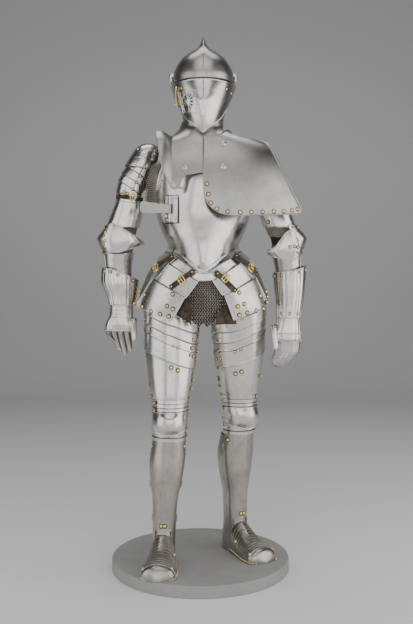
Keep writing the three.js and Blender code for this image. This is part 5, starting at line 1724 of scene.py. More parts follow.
    def belts(self) -> None:
        """The four straps that hang the tassets, each with its buckle: two replace the solids' straps."""
        leather, brass = [], []
        for start, end, buckle, lift in self.straps:
            share = np.linspace(0, 1, 30)[:, None]
            a, b = EYE.on(HIPS, start, lift)[0], EYE.on(HIPS, end, lift)[0]
            flat = a + (b - a) * share
            angle = HIPS.angle_at(flat[:, 0], flat[:, 2])
            path, normals = HIPS(angle, flat[:, 2], lift), HIPS.normal(angle, flat[:, 2])
            leather.append(strip(path, normals, 16.5, 2.4))
            point, normal = EYE.on(HIPS, buckle, lift + 1.4)
            brass.append(self.buckle(point, normal, unit(b - a)))
            ends = np.array([path[2], path[-3]])
            brass.append(studs(ends + 1.2 * normals[[2, -3]], normals[[2, -3]], 3.0, 2.0))
        self.shop.put(
            "hip_straps", merged(leather), Slot.LEATHER,
            replaces=["strap_right_centre", "strap_left_centre"]
        )
        self.shop.put("hip_buckles", merged(brass), Slot.GILT)

    @staticmethod
    def buckle(
        point: Array, normal: Array, along: Array, width: float = 27.0, length: float = 20.0
    ) -> Shape:
        """A rounded buckle frame with a bar across it and a tongue."""
        side = unit(np.cross(along, normal))
        turn = np.linspace(0, 2 * np.pi, 36, endpoint=False)
        wide, long = (np.sign(wave) * np.abs(wave) ** 0.55 for wave in (np.cos(turn), np.sin(turn)))
        path = point + (wide * width / 2)[:, None] * side + (long * length / 2)[:, None] * along
        frame = tube(path + 1.0 * normal, np.tile(normal, (36, 1)), 2.2, closed=True)
        bar = tube(
            np.stack([point - side * width / 2, point + side * width / 2]) + 1.0 * normal,
            np.tile(normal, (2, 1)), 1.6
        )
        tongue = tube(
            np.stack([point - along * 2, point + along * (length / 2 + 2)]) + 2.6 * normal,
            np.tile(normal, (2, 1)), 1.5
        )
        return merged([frame, bar, tongue])

    def mail(self) -> None:
        """The mail skirt: rows of linked rings that lean by turns left and right, over a sheet of painted
        shade.
        """
        top = edge((-70, 985), (-30, 968), (0, 962), (30, 968), (70, 985))
        hem = edge(
            (-70, 905), (-40, 862), (-24, 850), (-14, 822), (-6, 794), (-3, 788), (0, 800), (3, 788),
            (6, 794),
            (14, 822), (24, 848), (40, 868), (70, 905)
        )
        skirt = Band(HIPS, -70, 70, hem, top, lift=-23, lower=-35, step=1.4, rise=6, thick=1.4)
        # The near-black sheet under the rings: painted shade between them.
        self.shop.put("mail_shade_sheet", skirt.shape(), Slot.MAIL, replaces=["mail_skirt"], shade_sheet=True)
        self.shop.put("mail_rings", self.rings(top, hem), Slot.MAIL)

    @staticmethod
    def rings(top: Edge, hem: Edge, pitch: float = 8.6, row: float = 6.4) -> Shape:
        """Rings on the skirt, which lean left and right by turns, row by row."""
        z = np.arange(792.0, 985.0, row)
        angles = []
        for k, height in enumerate(z):
            step = math.degrees(pitch / 215.0)
            line = np.arange(-70.0, 70.0, step) + (step / 2 if k % 2 else 0.0)
            inside = (height > hem(line) + 2) & (height < top(line) - 2)
            angles.append(
                np.stack(
                    [line[inside], np.full(inside.sum(), height), np.full(inside.sum(), k % 2)], axis=-1
                )
            )
        spots = np.concatenate(angles)
        angle, height, odd = spots.T
        share = (height - hem(angle)) / (top(angle) - hem(angle))
        lift = -35 + 12 * share + 0.9
        lean = np.where(odd > 0, 0.62, -0.62)
        return ringlets(HIPS(angle, height, lift), HIPS.normal(angle, height), lean)


class Leg:
    """One leg: thigh plates, knee, greaves, sabaton and toe cap."""

    thigh_heads = {
        "right": [
            (184.6, 320.4), (191.0, 324.7), (196.2, 329.5), (198.4, 336.3), (193.3, 339.7), (198.4, 344.6),
            (192.1, 348.3), (197.5, 351.2), (190.5, 355.2), (193.4, 356.3), (196.2, 359.0), (195.7, 367.3),
            (193.4, 379.9), (191.7, 388.3), (190.3, 397.8), (189.1, 404.2), (173.5, 345.9), (178.3, 347.3),
            (144.7, 319.1), (145.2, 354.6), (148.0, 384.0), (150.4, 396.0),
        ],
        "left": [
            (242.2, 318.4), (234.6, 323.3), (226.9, 326.5), (219.9, 329.7), (214.2, 332.7), (211.3, 337.6),
            (217.1, 342.0), (218.4, 351.0), (213.3, 352.6), (216.7, 358.9), (220.2, 358.9), (214.2, 359.6),
            (216.4, 367.6), (217.5, 377.8), (218.4, 385.8), (219.3, 394.0), (220.4, 400.5), (235.2, 351.9),
            (240.5, 349.3), (265.5, 321.0), (264.5, 350.0), (260.5, 376.0), (256.5, 396.0),
        ],
    }
    rosettes = {
        "right": [(171.2, 367.6), (178.1, 370.5)],
        "left": [(235.5, 373.9), (241.6, 372.0)],
    }
    knee_heads = {
        "right": [
            (189.6, 410.9), (189.6, 416.4), (187.8, 427.5), (186.5, 431.3), (154.2, 402.9), (154.2, 410.5),
            (152.3, 415.0), (152.3, 424.3),
        ],
        "left": [(220.4, 407.1), (219.9, 413.5), (219.7, 422.7), (254.0, 407.0), (253.0, 418.0)],
    }
    lames_above = ((503, 520, 3.2), (516, 534, 1.6), (530, 548, 0.4))
    lames_below = ((412, 428, 2.6), (426, 441, 3.8))

    def __init__(self, shop: Workshop, side: str) -> None:
        """Makes all the leg's pieces."""
        self.shop = shop
        self.side = side
        self.bone = BONES[side]
        self.form = LegForm(self.bone)
        self.foot = FootForm(self.bone)
        self.thigh()
        self.knee()
        self.greave()
        self.sabaton()

    def put(self, name: str, shape: Shape, slot: Slot, replaces: Sequence[str] = ()) -> None:
        """Puts a piece with the side in its name, in place of this side's nodes."""
        self.shop.put(
            f"{self.side}_{name}", shape, slot, replaces=[f"{self.side}_{node}" for node in replaces]
        )

    def slant(self, outer: float, inner: float) -> Curve:
        """An edge line that runs from the outer side of the thigh down to the inner side."""
        out = self.bone.out
        middle = (outer + inner) / 2 - 3
        return edge(
            (-120 * out, inner - 4), (-60 * out, inner), (0, middle), (70 * out, outer),
            (120 * out, outer + 4)
        )

    def raised(self, line: Curve, rise: float) -> Edge:
        """The line moved up."""
        return lambda angle: line(angle) + rise

    def strip(
        self, low: Edge | float, high: Edge | float, lift: float, lower: float, reach: float = 112
    ) -> Band:
        """A plate of the thigh between two edge lines."""
        return Band(self.form, -reach, reach, low, high, lift=lift, lower=lower, step=3)

    def thigh(self) -> None:
        """The thigh's slanting lames over its main plate, with a standing ridge and edge rivets."""
        rim, second, third = self.slant(870, 806), self.slant(806, 734), self.slant(712, 652)
        half = self.slant(837, 770)
        top_lames = [self.strip(half, rim, 0.6, 1.4), self.strip(second, self.raised(half, 6), -1.4, 0.2)]
        main_upper = self.strip(third, self.raised(second, 9), -LAP - 0.4, 1.0)
        quarter = self.slant(775, 706)
        extra = self.strip(quarter, self.raised(quarter, 5), 0.6, 1.2)
        main = self.strip(536, self.raised(third, 10), -LAP - 0.8, -LAP - 0.6)
        ridge_z = np.linspace(560, 720, 50)
        centre = -14.0 * self.bone.out
        ridge = tube(
            self.form(np.full(50, centre), ridge_z, -LAP - 1.4),
            self.form.normal(np.full(50, centre), ridge_z), np.linspace(0.8, 2.2, 50)
        )
        self.put(
            "thigh_lames",
            merged([band.shape() for band in top_lames] + [rolled(band, 2.0) for band in top_lames]),
            Slot.BRIGHT, ["thigh_top"]
        )
        self.put(
            "thigh_cross_plate",
            merged([main_upper.shape(), rolled(main_upper, 2.2, top=False), extra.shape()]), Slot.BRIGHT,
            ["thigh_upper"]
        )
        sides = [self.side_roll(main, sign) for sign in (-1, 1)]
        self.put("thigh_plate", merged([main.shape(), *sides, ridge]), Slot.BRIGHT, ["thigh_main"])
        start = (-self.bone.turn, 680.0)
        heads = [
            studs(*EYE.find(self.form, self.thigh_heads[self.side], start, 108.0, 0.4), **SMALL_RIVET),
            studs(*EYE.find(self.form, self.rosettes[self.side], start, 108.0, -1.2), **RIVET),
        ]
        self.put("thigh_rivets", merged(heads), Slot.GILT)
        # Painted shadow lines: thin dark leather bars just below the lower edge of each lame.
        lines = [
            seam(self.form, self.raised(line, rise), -108, 108, lift)
            for line, rise, lift in (
                (half, -2.6, -1.0), (second, -2.6, -1.6), (third, -2.6, -2.6), (quarter, -2.4, -1.6)
            )
        ]
        self.put("thigh_shadow_lines", merged(lines), Slot.LEATHER)
        self.straps()

    def side_roll(self, band: Band, sign: int) -> Shape:
        """The rolled edge down one side of a plate."""
        u, v, lift = band.places()
        column = -1 if sign > 0 else 0
        angle, z = u[:, 0][column], v[column]
        angles = np.full_like(z, angle)
        return tube(self.form(angles, z, lift[column] - 0.9), self.form.normal(angles, z), 2.0)

    def straps(self) -> None:
        """Leather straps that close the thigh and the knee behind, each with a buckle on the outer side."""
        leather, brass = [], []
        for height, lift in ((600.0, -4.0), (770.0, -1.0), (466.0, 1.0)):
            start, end = (100.0, 260.0) if height > 500 else (88.0, 272.0)
            angle = np.linspace(start, end, 40)
            z = np.full(40, height)
            path, normals = self.form(angle, z, lift), self.form.normal(angle, z)
            leather.append(strip(path, normals, 15.0, 2.4))
            place = 10 if self.bone.out > 0 else -11
            along = unit(path[place + 1] - path[place])
            brass.append(Hips.buckle(path[place] + 1.6 * normals[place], normals[place], along, 23.0, 18.0))
        self.put("leg_straps", merged(leather), Slot.LEATHER)
        self.put("leg_buckles", merged(brass), Slot.GILT)

    def knee(self) -> None:
        """The knee cop, a rounded cup with a soft ridge, between lapped lames, and its outer fan."""

        def cup(angle: Array, z: Array) -> Array:
            crease = 2.2 * np.exp(-((angle / 5.0) ** 2)) * np.exp(-(((z - 472) / 30) ** 2))
            around = np.exp(-((angle / 62) ** 2))
            return 17 * around * np.exp(-(np.abs((z - 473) / 33) ** 3)) + 0.5 * crease

        low = edge((-100, 452), (-60, 447), (-25, 438), (0, 432), (25, 438), (60, 447), (100, 452))
        cop = Band(self.form, -100, 100, low, 508, lift=2.8, lower=4.4, step=2.5, rise=3, swell=cup)
        lames = [
            Band(self.form, -100, 100, low, high, lift=lift - 2.2, lower=lift, step=3, rise=6)
            for low, high, lift in self.lames_above
        ]
        lames += [
            Band(self.form, -100, 100, low, high, lift=lift, lower=lift - 1.6, step=3, rise=6)
            for low, high, lift in self.lames_below
        ]
        fan = self.fan()
        shape = merged(
            [
                cop.shape(), rolled(cop, 2.0), *[lame.shape() for lame in lames],
                *[rolled(lame, 1.2) for lame in lames], fan
            ]
        )
        self.put("knee_cop", shape, Slot.BRIGHT, ["knee"])
        start = (-self.bone.turn, 480.0)
        heads = studs(*EYE.find(self.form, self.knee_heads[self.side], start, 97.0, 5.0), **SMALL_RIVET)
        self.put("knee_rivets", heads, Slot.GILT)
        # Painted shadow lines: thin dark leather bars at the edges of the cop and its lames.
        lines = [
            seam(self.form, level(height), -96, 96, lift)
            for height, lift in ((510.5, 2.4), (522, 1.6), (535.5, -0.6), (424, 3.6))
        ]
        lines.append(seam(self.form, lambda angle: low(angle) - 2.4, -96, 96, 3.6))
        self.put("knee_shadow_lines", merged(lines), Slot.LEATHER)

    def fan(self) -> Shape:
        """The fan plate at the knee's outer side: a fluted half disc that stands off the leg."""
        out = self.bone.out
        angles, share = grid(np.radians(np.linspace(-100, 100, 41)), np.linspace(0.12, 1, 10))
        flute = 1 + 0.05 * np.cos(6 * angles)
        side = out * (82.0 - 14.0 * share * np.cos(angles) * flute)
        height = 472 + 30 * share * np.sin(angles) * flute
        lift = 5.0 + 3.0 * np.cos(6 * angles) * share * 0.3
        outer, inner = self.form(side, height, lift + 1.0), self.form(side, height, lift - 0.4)
        return wall(outer, inner)

    def greave(self) -> None:
        """The greave's two shells, with a hinge line outside, a clasp inside and a faint shin ridge."""
        ankle = edge((-88, 3), (-66, 5), (-44, 114), (0, 118), (44, 114), (66, 5), (88, 3))
        front = Band(self.form, -88, 88, ankle, 416, lift=-0.2, step=2.5, rise=7)
        shin = np.linspace(140, 400, 70)
        ridge = tube(self.form(np.zeros(70), shin, -1.2), np.tile([1.0, 0.0, 0.0], (70, 1)), 1.7)
        self.put(
            "greave_shin", merged([front.shape(), rolled(front, 2.2), ridge]), Slot.DARK, ["greave_front"]
        )
        back = Band(self.form, 89, 271, 3, 404, lift=-0.2, step=3, rise=8)
        self.put("greave_calf", merged([back.shape(), rolled(back, 2.2)]), Slot.DARK, ["greave_back"])
        hinges = []
        for height in (150.0, 262.0, 368.0):
            for angle in (88.5, 271.5):
                z = np.linspace(height - 11, height + 11, 5)
                spot = np.full(5, angle)
                hinges.append(tube(self.form(spot, z, 0.8), self.form.normal(spot, z), 2.3))
        self.put("greave_hinges", merged(hinges), Slot.DARK)
        z = np.array([133.0, 133.0, 392.0, 392.0])
        angle = np.array([-9.0, 9.0, -70.0, 70.0])
        self.put(
            "greave_rivets", studs(self.form(angle, z, 0.0), self.form.normal(angle, z), **RIVET), Slot.GILT
        )

    def sabaton(self) -> None:
        """The sabaton: many narrow lames that overlap towards the toe, a toe cap and a beaded sole edge."""
        places = np.linspace(30, 168, 13)
        lames = []
        for start, end in zip(places[:-1], places[1:]):
            t, u = grid(np.linspace(-90, 90, 37), np.linspace(end + 3.5, start, 4))
            share = (u - start) / (end - start)
            lift = 0.2 + 1.4 * share
            lames.append(wall(self.foot(t, u, lift), self.foot(t, u, lift - 1.3)))
        self.put("sabaton_lames", merged(lames), Slot.DARK, ["sabaton"])
        cap = wall(self.toe(2.3), self.toe(0.6))
        angle = np.linspace(-88, 88, 60)
        ring = np.full(60, 161.0)
        edge_roll = tube(self.foot(angle, ring, 2.2), self.foot.normal(angle, ring), 1.8)
        self.put("toe_plate", merged([cap, edge_roll]), Slot.DARK, ["toe_cap"])
        ankle = []
        for k in range(5):
            line = self.arch_line(122.0 - 8.0 * k)
            lame = Band(
                self.form, -70, 70, self.raised(line, -9.0), line, lift=-4.4 + 0.7 * k,
                lower=-3.4 + 0.7 * k, step=4, rise=4
            )
            ankle += [lame.shape(), rolled(lame, 1.0, top=False)]
        self.put("ankle_lames", merged(ankle), Slot.DARK)
        beads = []
        along = np.arange(34.0, 188.0, 6.5)
        for sign in (-1, 1):
            angle = np.full_like(along, 87.0 * sign)
            beads.append(
                studs(
                    self.foot(angle, along, 1.6), self.foot.normal(angle, along), radius=2.4, height=2.2,
                    sides=8
                )
            )
        angle = np.array([-58.0, 52.0])
        ring = np.full(2, 158.0)
        beads.append(studs(self.foot(angle, ring, 2.4), self.foot.normal(angle, ring), **RIVET))
        angle = np.array([-64.0, 64.0])
        beads.append(
            studs(
                self.foot(angle, np.array([64.0, 64.0]), 1.4),
                self.foot.normal(angle, np.array([64.0, 64.0])), **RIVET
            )
        )
        self.put("sabaton_beads", merged(beads), Slot.GILT)

    def toe(self, grow: float) -> Array:
        """The toe cap's grid: the foot's arch, shrunk along a quarter circle to close at the tip."""
        along = np.concatenate(
            [np.linspace(160, 170, 5), 172 + 19.5 * np.sin(np.linspace(0, np.pi / 2, 14))]
        )
        t, u = grid(np.radians(np.linspace(-90, 90, 37)), along[::-1])
        shrink = np.sqrt(np.clip(1 - (np.clip(u - 172, 0, None) / 19.52) ** 2, 0.0004, 1))
        wide = (self.foot.half(u) + grow) * shrink * np.sin(t)
        up = (self.foot.high(u) + grow) * shrink * np.maximum(np.cos(t), 0) ** self.foot.arch
        points = turned(np.stack([wide, -u, up + self.foot.sole], axis=-1), self.bone.turn)
        return points + np.array([float(self.bone.x(0)), float(self.bone.y(0)), 0.0])

    def arch_line(self, height: float) -> Edge:
        """An edge line that arches over the instep."""
        return lambda angle: height - 30.0 * (np.asarray(angle, float) / 70) ** 2


class Arm:
    """One arm: mail sleeve, spaudler, shoulder lames, upper cannon, couter, lower cannon and gauntlet."""

    wings = {
        "right": (
            edge(
                (-338, 1066), (-328, 1050), (-312, 1042), (-290, 1042), (-265, 1048), (-240, 1056),
                (-220, 1064), (-206, 1070)
            ),
            edge(
                (-338, 1102), (-328, 1122), (-312, 1140), (-290, 1134), (-265, 1118), (-240, 1102),
                (-220, 1088), (-206, 1079)
            ),
        ),
        "left": (
            edge((222, 1034), (240, 1026), (262, 1020), (280, 1017), (298, 1015), (312, 1018), (324, 1034)),
            edge((222, 1050), (240, 1056), (262, 1084), (280, 1108), (298, 1116), (312, 1104), (324, 1070)),
        ),
    }
    arm_heads = {
        "right": [
            (138.0, 149.4), (154.5, 151.0), (159.3, 147.6), (152.4, 155.5), (144.8, 167.0), (140.5, 176.0),
            (136.5, 182.4), (132.6, 189.0), (124.0, 192.0), (127.5, 193.6),
        ],
        "left": [(268.0, 222.0)],
    }
    wing_heads = {
        "right": [(104.8, 228.7), (104.8, 234.0), (104.0, 241.0), (103.3, 246.7)],
        "left": [
            (289.8, 246.8), (294.4, 246.3), (299.2, 234.0), (300.3, 240.0), (301.0, 247.3), (302.3, 252.0)
        ],
    }

    def __init__(self, shop: Workshop, side: str) -> None:
        """Makes all the arm's pieces."""
        self.shop = shop
        self.side = side
        self.out = -1 if side == "right" else 1
        self.form = ARMS[side]
        self.cuff_form = CUFFS[side]
        self.sleeve()
        self.shoulder()
        self.cannons()
        self.couter()
        if side == "right":
            self.right_gauntlet()
        else:
            self.left_gauntlet()

    def put(
        self, name: str, shape: Shape, slot: Slot, replaces: Sequence[str] = (), *, shade_sheet: bool = False
    ) -> None:
        """Puts a piece with the side in its name, in place of this side's nodes."""
        nodes = [f"{self.side}_{node}" for node in replaces]
        self.shop.put(f"{self.side}_{name}", shape, slot, replaces=nodes, shade_sheet=shade_sheet)

    def turned(self, start: float, end: float) -> tuple[float, float]:
        """The span of angles on this side."""
        return (start, end) if self.out < 0 else (-end, -start)

    def tilt(self, z: float, fall: float) -> Edge:
        """An edge line that falls towards the outer side."""
        return lambda angle: z + fall * np.sin(np.radians(self.out * angle))

    def sleeve(self) -> None:
        """The mail sleeve inside the plates, which fills out towards the body at the armpit."""
        fill = edge((1006, 0), (1160, 0), (1249, 0), (1285, 28), (1318, 9), (1385, 0))

        def swell(angle: Array, z: Array) -> Array:
            inward = np.maximum(np.cos(np.radians(angle + 90 * self.out)), 0) ** 4
            return np.clip(fill(z), 0, 28) * inward

        sleeve = Band(
            self.form, -180, 180, 1006, 1385, lift=-10.5, step=6, rise=10, thick=MAIL_WALL, swell=swell
        )
        # The sleeve's near-black sheet: painted shade between its rings.
        self.put("sleeve_shade_sheet", sleeve.shape(), Slot.MAIL, ["mail_sleeve"], shade_sheet=True)
        self.put("sleeve_rings", self.rings(sleeve), Slot.MAIL)

    def rings(self, sleeve: Band) -> Shape:
        """Rings where the sleeve shows: the armpit and the bend of the elbow."""
        spots = []
        for low, high, start, end in (
            (1246, 1330, 20, 140), (1020, 1062, -130, 130), (1098, 1146, -130, 130)
        ):
            z = np.arange(low, high, 6.4)
            for k, height in enumerate(z):
                line = np.arange(start, end, 9.0) + 4.5 * (k % 2)
                spots.append(np.stack([-self.out * line, np.full_like(line, height)], axis=-1))
        angle, height = np.concatenate(spots).T
        lift = sleeve.lift + sleeve.swell(angle, height) + 0.6
        shape = ringlets(self.form(angle, height, lift), self.form.normal(angle, height), 0.3)
        return merged([shape, self.gusset()]) if self.side == "right" else shape

    def gusset(self) -> Shape:
        """The mail between the right arm and the arm hole of the breastplate."""
        s, t = grid(np.linspace(0, 1, 10), np.linspace(0, 1, 19))
        s = s + 0.05 * (np.arange(19) % 2)[None, :]
        low = np.array([-198.0, -50.0, 1200.0]) + s[..., None] * np.array([64.0, 4.0, -4.0])
        high = np.array([-186.0, -40.0, 1330.0]) + s[..., None] * np.array([52.0, -10.0, 22.0])
        points = low + (high - low) * t[..., None]
        points[..., 1] -= 10 * np.sin(np.pi * np.clip(s, 0, 1))
        normal = np.tile([0.0, -1.0, 0.0], (points.size // 3, 1))
        back = points + np.array([0.0, 3.0, 0.0])
        # A near-black sheet behind the armpit rings: painted shade between them.
        self.put("armpit_shade_sheet", wall(points + np.array([0.0, 1.6, 0.0]), back), Slot.MAIL, shade_sheet=True)
        return ringlets(points.reshape(-1, 3), normal, 0.3)

    def shoulder(self) -> None:
        """The spaudler's cup and the lames below it, riveted at their corners."""
        start, end = self.turned(-205, 72)
        cup = Band(self.form, start, end, self.tilt(1334, 10), 1417.5, lift=0, lower=1.6, step=4, rise=4)
        middle = Band(
            self.form, start + 6, end - 6, self.tilt(1362, 8), self.tilt(1367, 8), lift=1.4, lower=2.2,
            step=4
        )
        self.put(
            "spaudler_cup", merged([cup.shape(), rolled(cup, 2.2, top=False), middle.shape()]), Slot.BRIGHT,
            ["spaudler"]
        )
        start, end = self.turned(-200, 38)
        lames, lines = [], []
        for i in range(4):
            low, high = 1237 + 26.7 * i, 1237 + 26.7 * (i + 1) + 5
            falls = [15 + 14 * (0 < k < 4) for k in (i, i + 1)]
            lame = Band(
                self.form, start, end, self.tilt(low, falls[0]), self.tilt(high, falls[1]), lift=-LAP - 1.6,
                lower=0.2, step=4, rise=6,
            )
            lames += [lame.shape(), rolled(lame, 1.7, top=False)]
            # A painted shadow line: a thin dark leather bar just below the lame's lower edge.
            lines.append(seam(self.form, self.tilt(low - 1.8, falls[0]), start + 2, end - 2, -1.4))
        self.put("arm_lames", merged(lames), Slot.BRIGHT, ["shoulder_lames"])
        # A painted shadow line under the cup's lower edge as well.
        lines.append(seam(self.form, self.tilt(1331.5, 10), cup.start + 2, cup.end - 2, -0.8))
        self.put("arm_shadow_lines", merged(lines), Slot.LEATHER)
        guess = (20.0 * self.out, 1300.0)
        heads = studs(*EYE.find(self.form, self.arm_heads[self.side], guess, 80.0, 0.6), **SMALL_RIVET)
        self.put("arm_rivets", heads, Slot.GILT)

    def cannons(self) -> None:
        """The upper and lower cannons of the arm: tubes with rolled mouths, a turning seam and a strap."""
        upper = Band(self.form, -180, 180, 1128, self.tilt(1240, 6), lift=-4, lower=-1, step=5, rise=6)
        angle = np.linspace(-180, 180, 73)[:-1]
        z = self.tilt(1214, 6)(angle)
        seam = tube(self.form(angle, z, -3.4), self.form.normal(angle, z), 1.9, closed=True)
        self.put(
            "rerebrace", merged([upper.shape(), rolled(upper, 2.2), seam]), Slot.BRIGHT, ["upper_cannon"]
        )
        lower = Band(self.form, -180, 180, 958, 1036, lift=0, step=5, rise=6)
        seam_z = np.linspace(962, 1032, 16)
        spot = np.full(16, 62.0 * self.out)
        line = tube(self.form(spot, seam_z, 0.2), self.form.normal(spot, seam_z), 1.3)
        self.put(
            "vambrace", merged([lower.shape(), rolled(lower, 2.2), line]), Slot.BRIGHT, ["lower_cannon"]
        )
        angle = np.linspace(-180, 180, 61)[:-1]
        z = self.tilt(1232, 5)(angle)
        points, normals = self.form(angle, z, -1.2), self.form.normal(angle, z)
        belt = Band(
            self.form, -180, 180, self.tilt(1222, 6), self.tilt(1236, 6), lift=-1.4, step=5, thick=1.6
        )
        self.put("arm_strap", belt.shape(), Slot.LEATHER)
        place = int(np.argmin(np.abs(angle - (-18.0 * self.out))))
        along = unit(points[place + 1] - points[place - 1])
        buckle = Hips.buckle(points[place] + 1.2 * normals[place], normals[place], along, 21.0, 17.0)
        self.put("arm_buckle", buckle, Slot.GILT)

    def couter(self) -> None:
        """The couter: its cup over the elbow's point, and the wing across the bend, carried on a post."""
        start, end = (-212, -26) if self.out < 0 else (26, 212)

        def swell(angle: Array, z: Array) -> Array:
            level_share = np.exp(-(((z - 1087) / 5.0) ** 2))
            crease = 1.6 * level_share * np.exp(-(((angle - self.out * 96) / 50) ** 2))
            around = np.exp(-(((angle - self.out * 96) / 46) ** 2))
            return 20.5 * around * np.exp(-(((z - 1087) / 29) ** 2)) + crease

        cup = Band(self.form, start, end, 1040, 1134, lift=3, step=3, rise=4, swell=swell)
        low, high = self.wings[self.side]
        form = WingForm(self.form)
        x = np.linspace(float(low.places[0]), float(low.places[-1]), 36)
        u, t = grid(x, np.linspace(0, 1, 22))
        z = low(x)[:, None] + (high(x) - low(x))[:, None] * t
        lift = 6 * np.sin(np.pi * t)
        wing = wall(form(u, z, lift), form(u, z, lift - WALL))
        share = np.linspace(0, 1, 22)
        loop_x = np.concatenate([x, np.full(20, x[-1]), x[::-1], np.full(20, x[0])])
        loop_t = np.concatenate([np.zeros(36), share[1:-1], np.ones(36), share[-2:0:-1]])
        loop_z = low(loop_x) + (high(loop_x) - low(loop_x)) * loop_t
        loop_lift = 6 * np.sin(np.pi * loop_t) - WALL / 2
        roll = tube(form(loop_x, loop_z, loop_lift), form.normal(loop_x, loop_z), 1.9, closed=True)
        rivet = form(np.array(self.out * 311.0), np.array(1080.0))
        post = tube(
            np.array([[rivet[0], -47.0, rivet[2]], [rivet[0], rivet[1] + 1, rivet[2]]]),
            np.tile([0.0, 0.0, 1.0], (2, 1)), 4.0, sides=12
        )
        self.put("elbow", merged([cup.shape(), rolled(cup, 2.0), wing, roll, post]), Slot.BRIGHT, ["couter"])
        heads = [
            rivet_line(cup, self.out * np.array([40.0, 70.0, 125.0, 160.0, 195.0]), top, 8, **SMALL_RIVET)
            for top in (True, False)
        ]
        points = []
        for place in self.wing_heads[self.side]:
            points.append(self.on_wing(form, place))
        spots = np.array([point for point, _ in points])
        normals = np.array([normal for _, normal in points])
        heads.append(studs(spots, normals, **SMALL_RIVET))
        self.put("elbow_rivets", merged(heads), Slot.GILT)

    def on_wing(self, form: WingForm, place: tuple[float, float]) -> tuple[Array, Array]:
        """The point of the wing that a place of the frame shows, and its normal."""
        low, high = self.wings[self.side]
        depth = -70.0
        for _ in range(8):
            scale = (EYE.distance + depth + SUIT_AT[1]) / EYE.focal
            x = EYE.x + (place[0] - EYE.centre[0]) * scale - SUIT_AT[0]
            z = EYE.height - SUIT_AT[2] - (place[1] - EYE.centre[1]) * scale
            x = float(np.clip(x, low.places[0] + 6, low.places[-1] - 6))
            bottom, top = float(low(x)), float(high(x))
            z = float(np.clip(z, bottom + 5, top - 5))
            t = (z - bottom) / (top - bottom)
            point = form(np.array(x), np.array(z), 6 * math.sin(math.pi * t))
            depth = float(point[1])
        return point, form.normal(np.array(x), np.array(z))

    def fluted(self, band: Band, count: int, depth: float, span: tuple[float, float]) -> Band:
        """The band with rounded flutes that run down it between two angles."""

        def swell(angle: Array, z: Array) -> Array:
            share = np.clip((angle - span[0]) / (span[1] - span[0]), 0, 1)
            fade = np.sin(np.pi * share) ** 0.3
            return depth * fade * (np.abs(np.sin(np.pi * count * share)) - 0.5)

        return Band(
            band.form, band.start, band.end, band.low, band.high, band.lift, band.lower, 2.0, band.rise,
            band.thick, swell
        )

    def right_gauntlet(self) -> None:
        """The right gauntlet: a fluted cuff, wrist lames, knuckles, four lamed fingers and a thumb."""
        mouth = edge((-180, 962), (-90, 988), (-30, 986), (20, 966), (90, 944), (180, 962))
        cuff = self.fluted(Band(self.cuff_form, -180, 180, 862, mouth, step=2), 10, 1.6, (-100, 60))
        self.put("gauntlet_cuff", merged([cuff.shape(), rolled(cuff, 2.4)]), Slot.BRIGHT, ["cuff"])
        heads = [rivet_line(cuff, np.linspace(-150, 150, 13), True, 10, **SMALL_RIVET)]
        z = np.linspace(876, 936, 5)
        for angle in (76.0, 100.0):
            spot = np.full(5, angle)
            heads.append(studs(self.cuff_form(spot, z, 0.0), self.cuff_form.normal(spot, z), **SMALL_RIVET))
        lames, rims = [], []
        for i in range(5):
            low, high = 807 + 12 * i, 807 + 12 * (i + 1) + 3
            lame = Band(self.cuff_form, -112, 112, low, high, lift=-4.0, lower=-2.2, step=4, rise=5)
            lames.append(lame.shape())
            rims.append(rolled(lame, 1.1, top=False))
        plate = self.fluted(
            Band(self.cuff_form, -112, 112, 771, 811, lift=-2.6, lower=-2.0, step=2), 5, 1.6, (-70, 70)
        )
        knuckle_angle = np.linspace(-100, 100, 60)
        z = np.full(60, 774.0)
        rope = tube(
            self.cuff_form(knuckle_angle, z, -0.8), self.cuff_form.normal(knuckle_angle, z),
            2.6 + 0.7 * np.cos(np.linspace(0, 26 * np.pi, 60))
        )
        thumb = self.thumb((-238, -44, 820), (-237, -60, 736))
        self.put(
            "gauntlet_hand", merged([*lames, *rims, plate.shape(), rope, thumb]), Slot.BRIGHT,
            ["hand_lames"]
        )
        fingers = [
            self.finger(*row)
            for row in (
                (-327, -304, 734, 10), (-306, -285, 708, 12), (-284, -266, 692, 12.5), (-262, -249, 704, 12)
            )
        ]
        self.put("gauntlet_fingers", merged(fingers), Slot.DARK, ["fingers"])
        self.put("gauntlet_rivets", merged(heads), Slot.GILT)

    def finger(self, x: float, tip_x: float, tip_z: float, half: float, knuckle: float = 770.0) -> Shape:
        """A finger: a tapered open channel of short lames from knuckle to tip, bent with the hand."""
        def between(share: float, start: float, end: float) -> float:
            return start + (end - start) * share

        form = Form([
            Section(tip_z, half * 0.45, 7, 4, x=tip_x, y=-54),
            Section(tip_z + 8, half * 0.75, 10, 7, x=between(0.1, tip_x, x), y=-52),
            Section(between(0.6, tip_z, knuckle), half, 13, 9, x=between(0.6, tip_x, x), y=-46),
            Section(knuckle + 1, half + 0.8, 14, 9, x=x, y=-40),
        ])
        places = np.linspace(tip_z + 1, knuckle, 10)
        parts = []
        for low, high in zip(places[:-1], places[1:]):
            lame = Band(
                form, -112, 112, low, min(high + 2, knuckle), lift=-2.2, lower=0.3, step=12, rise=3,
                thick=1.2
            )
            parts.append(lame.shape())
        return merged(parts)

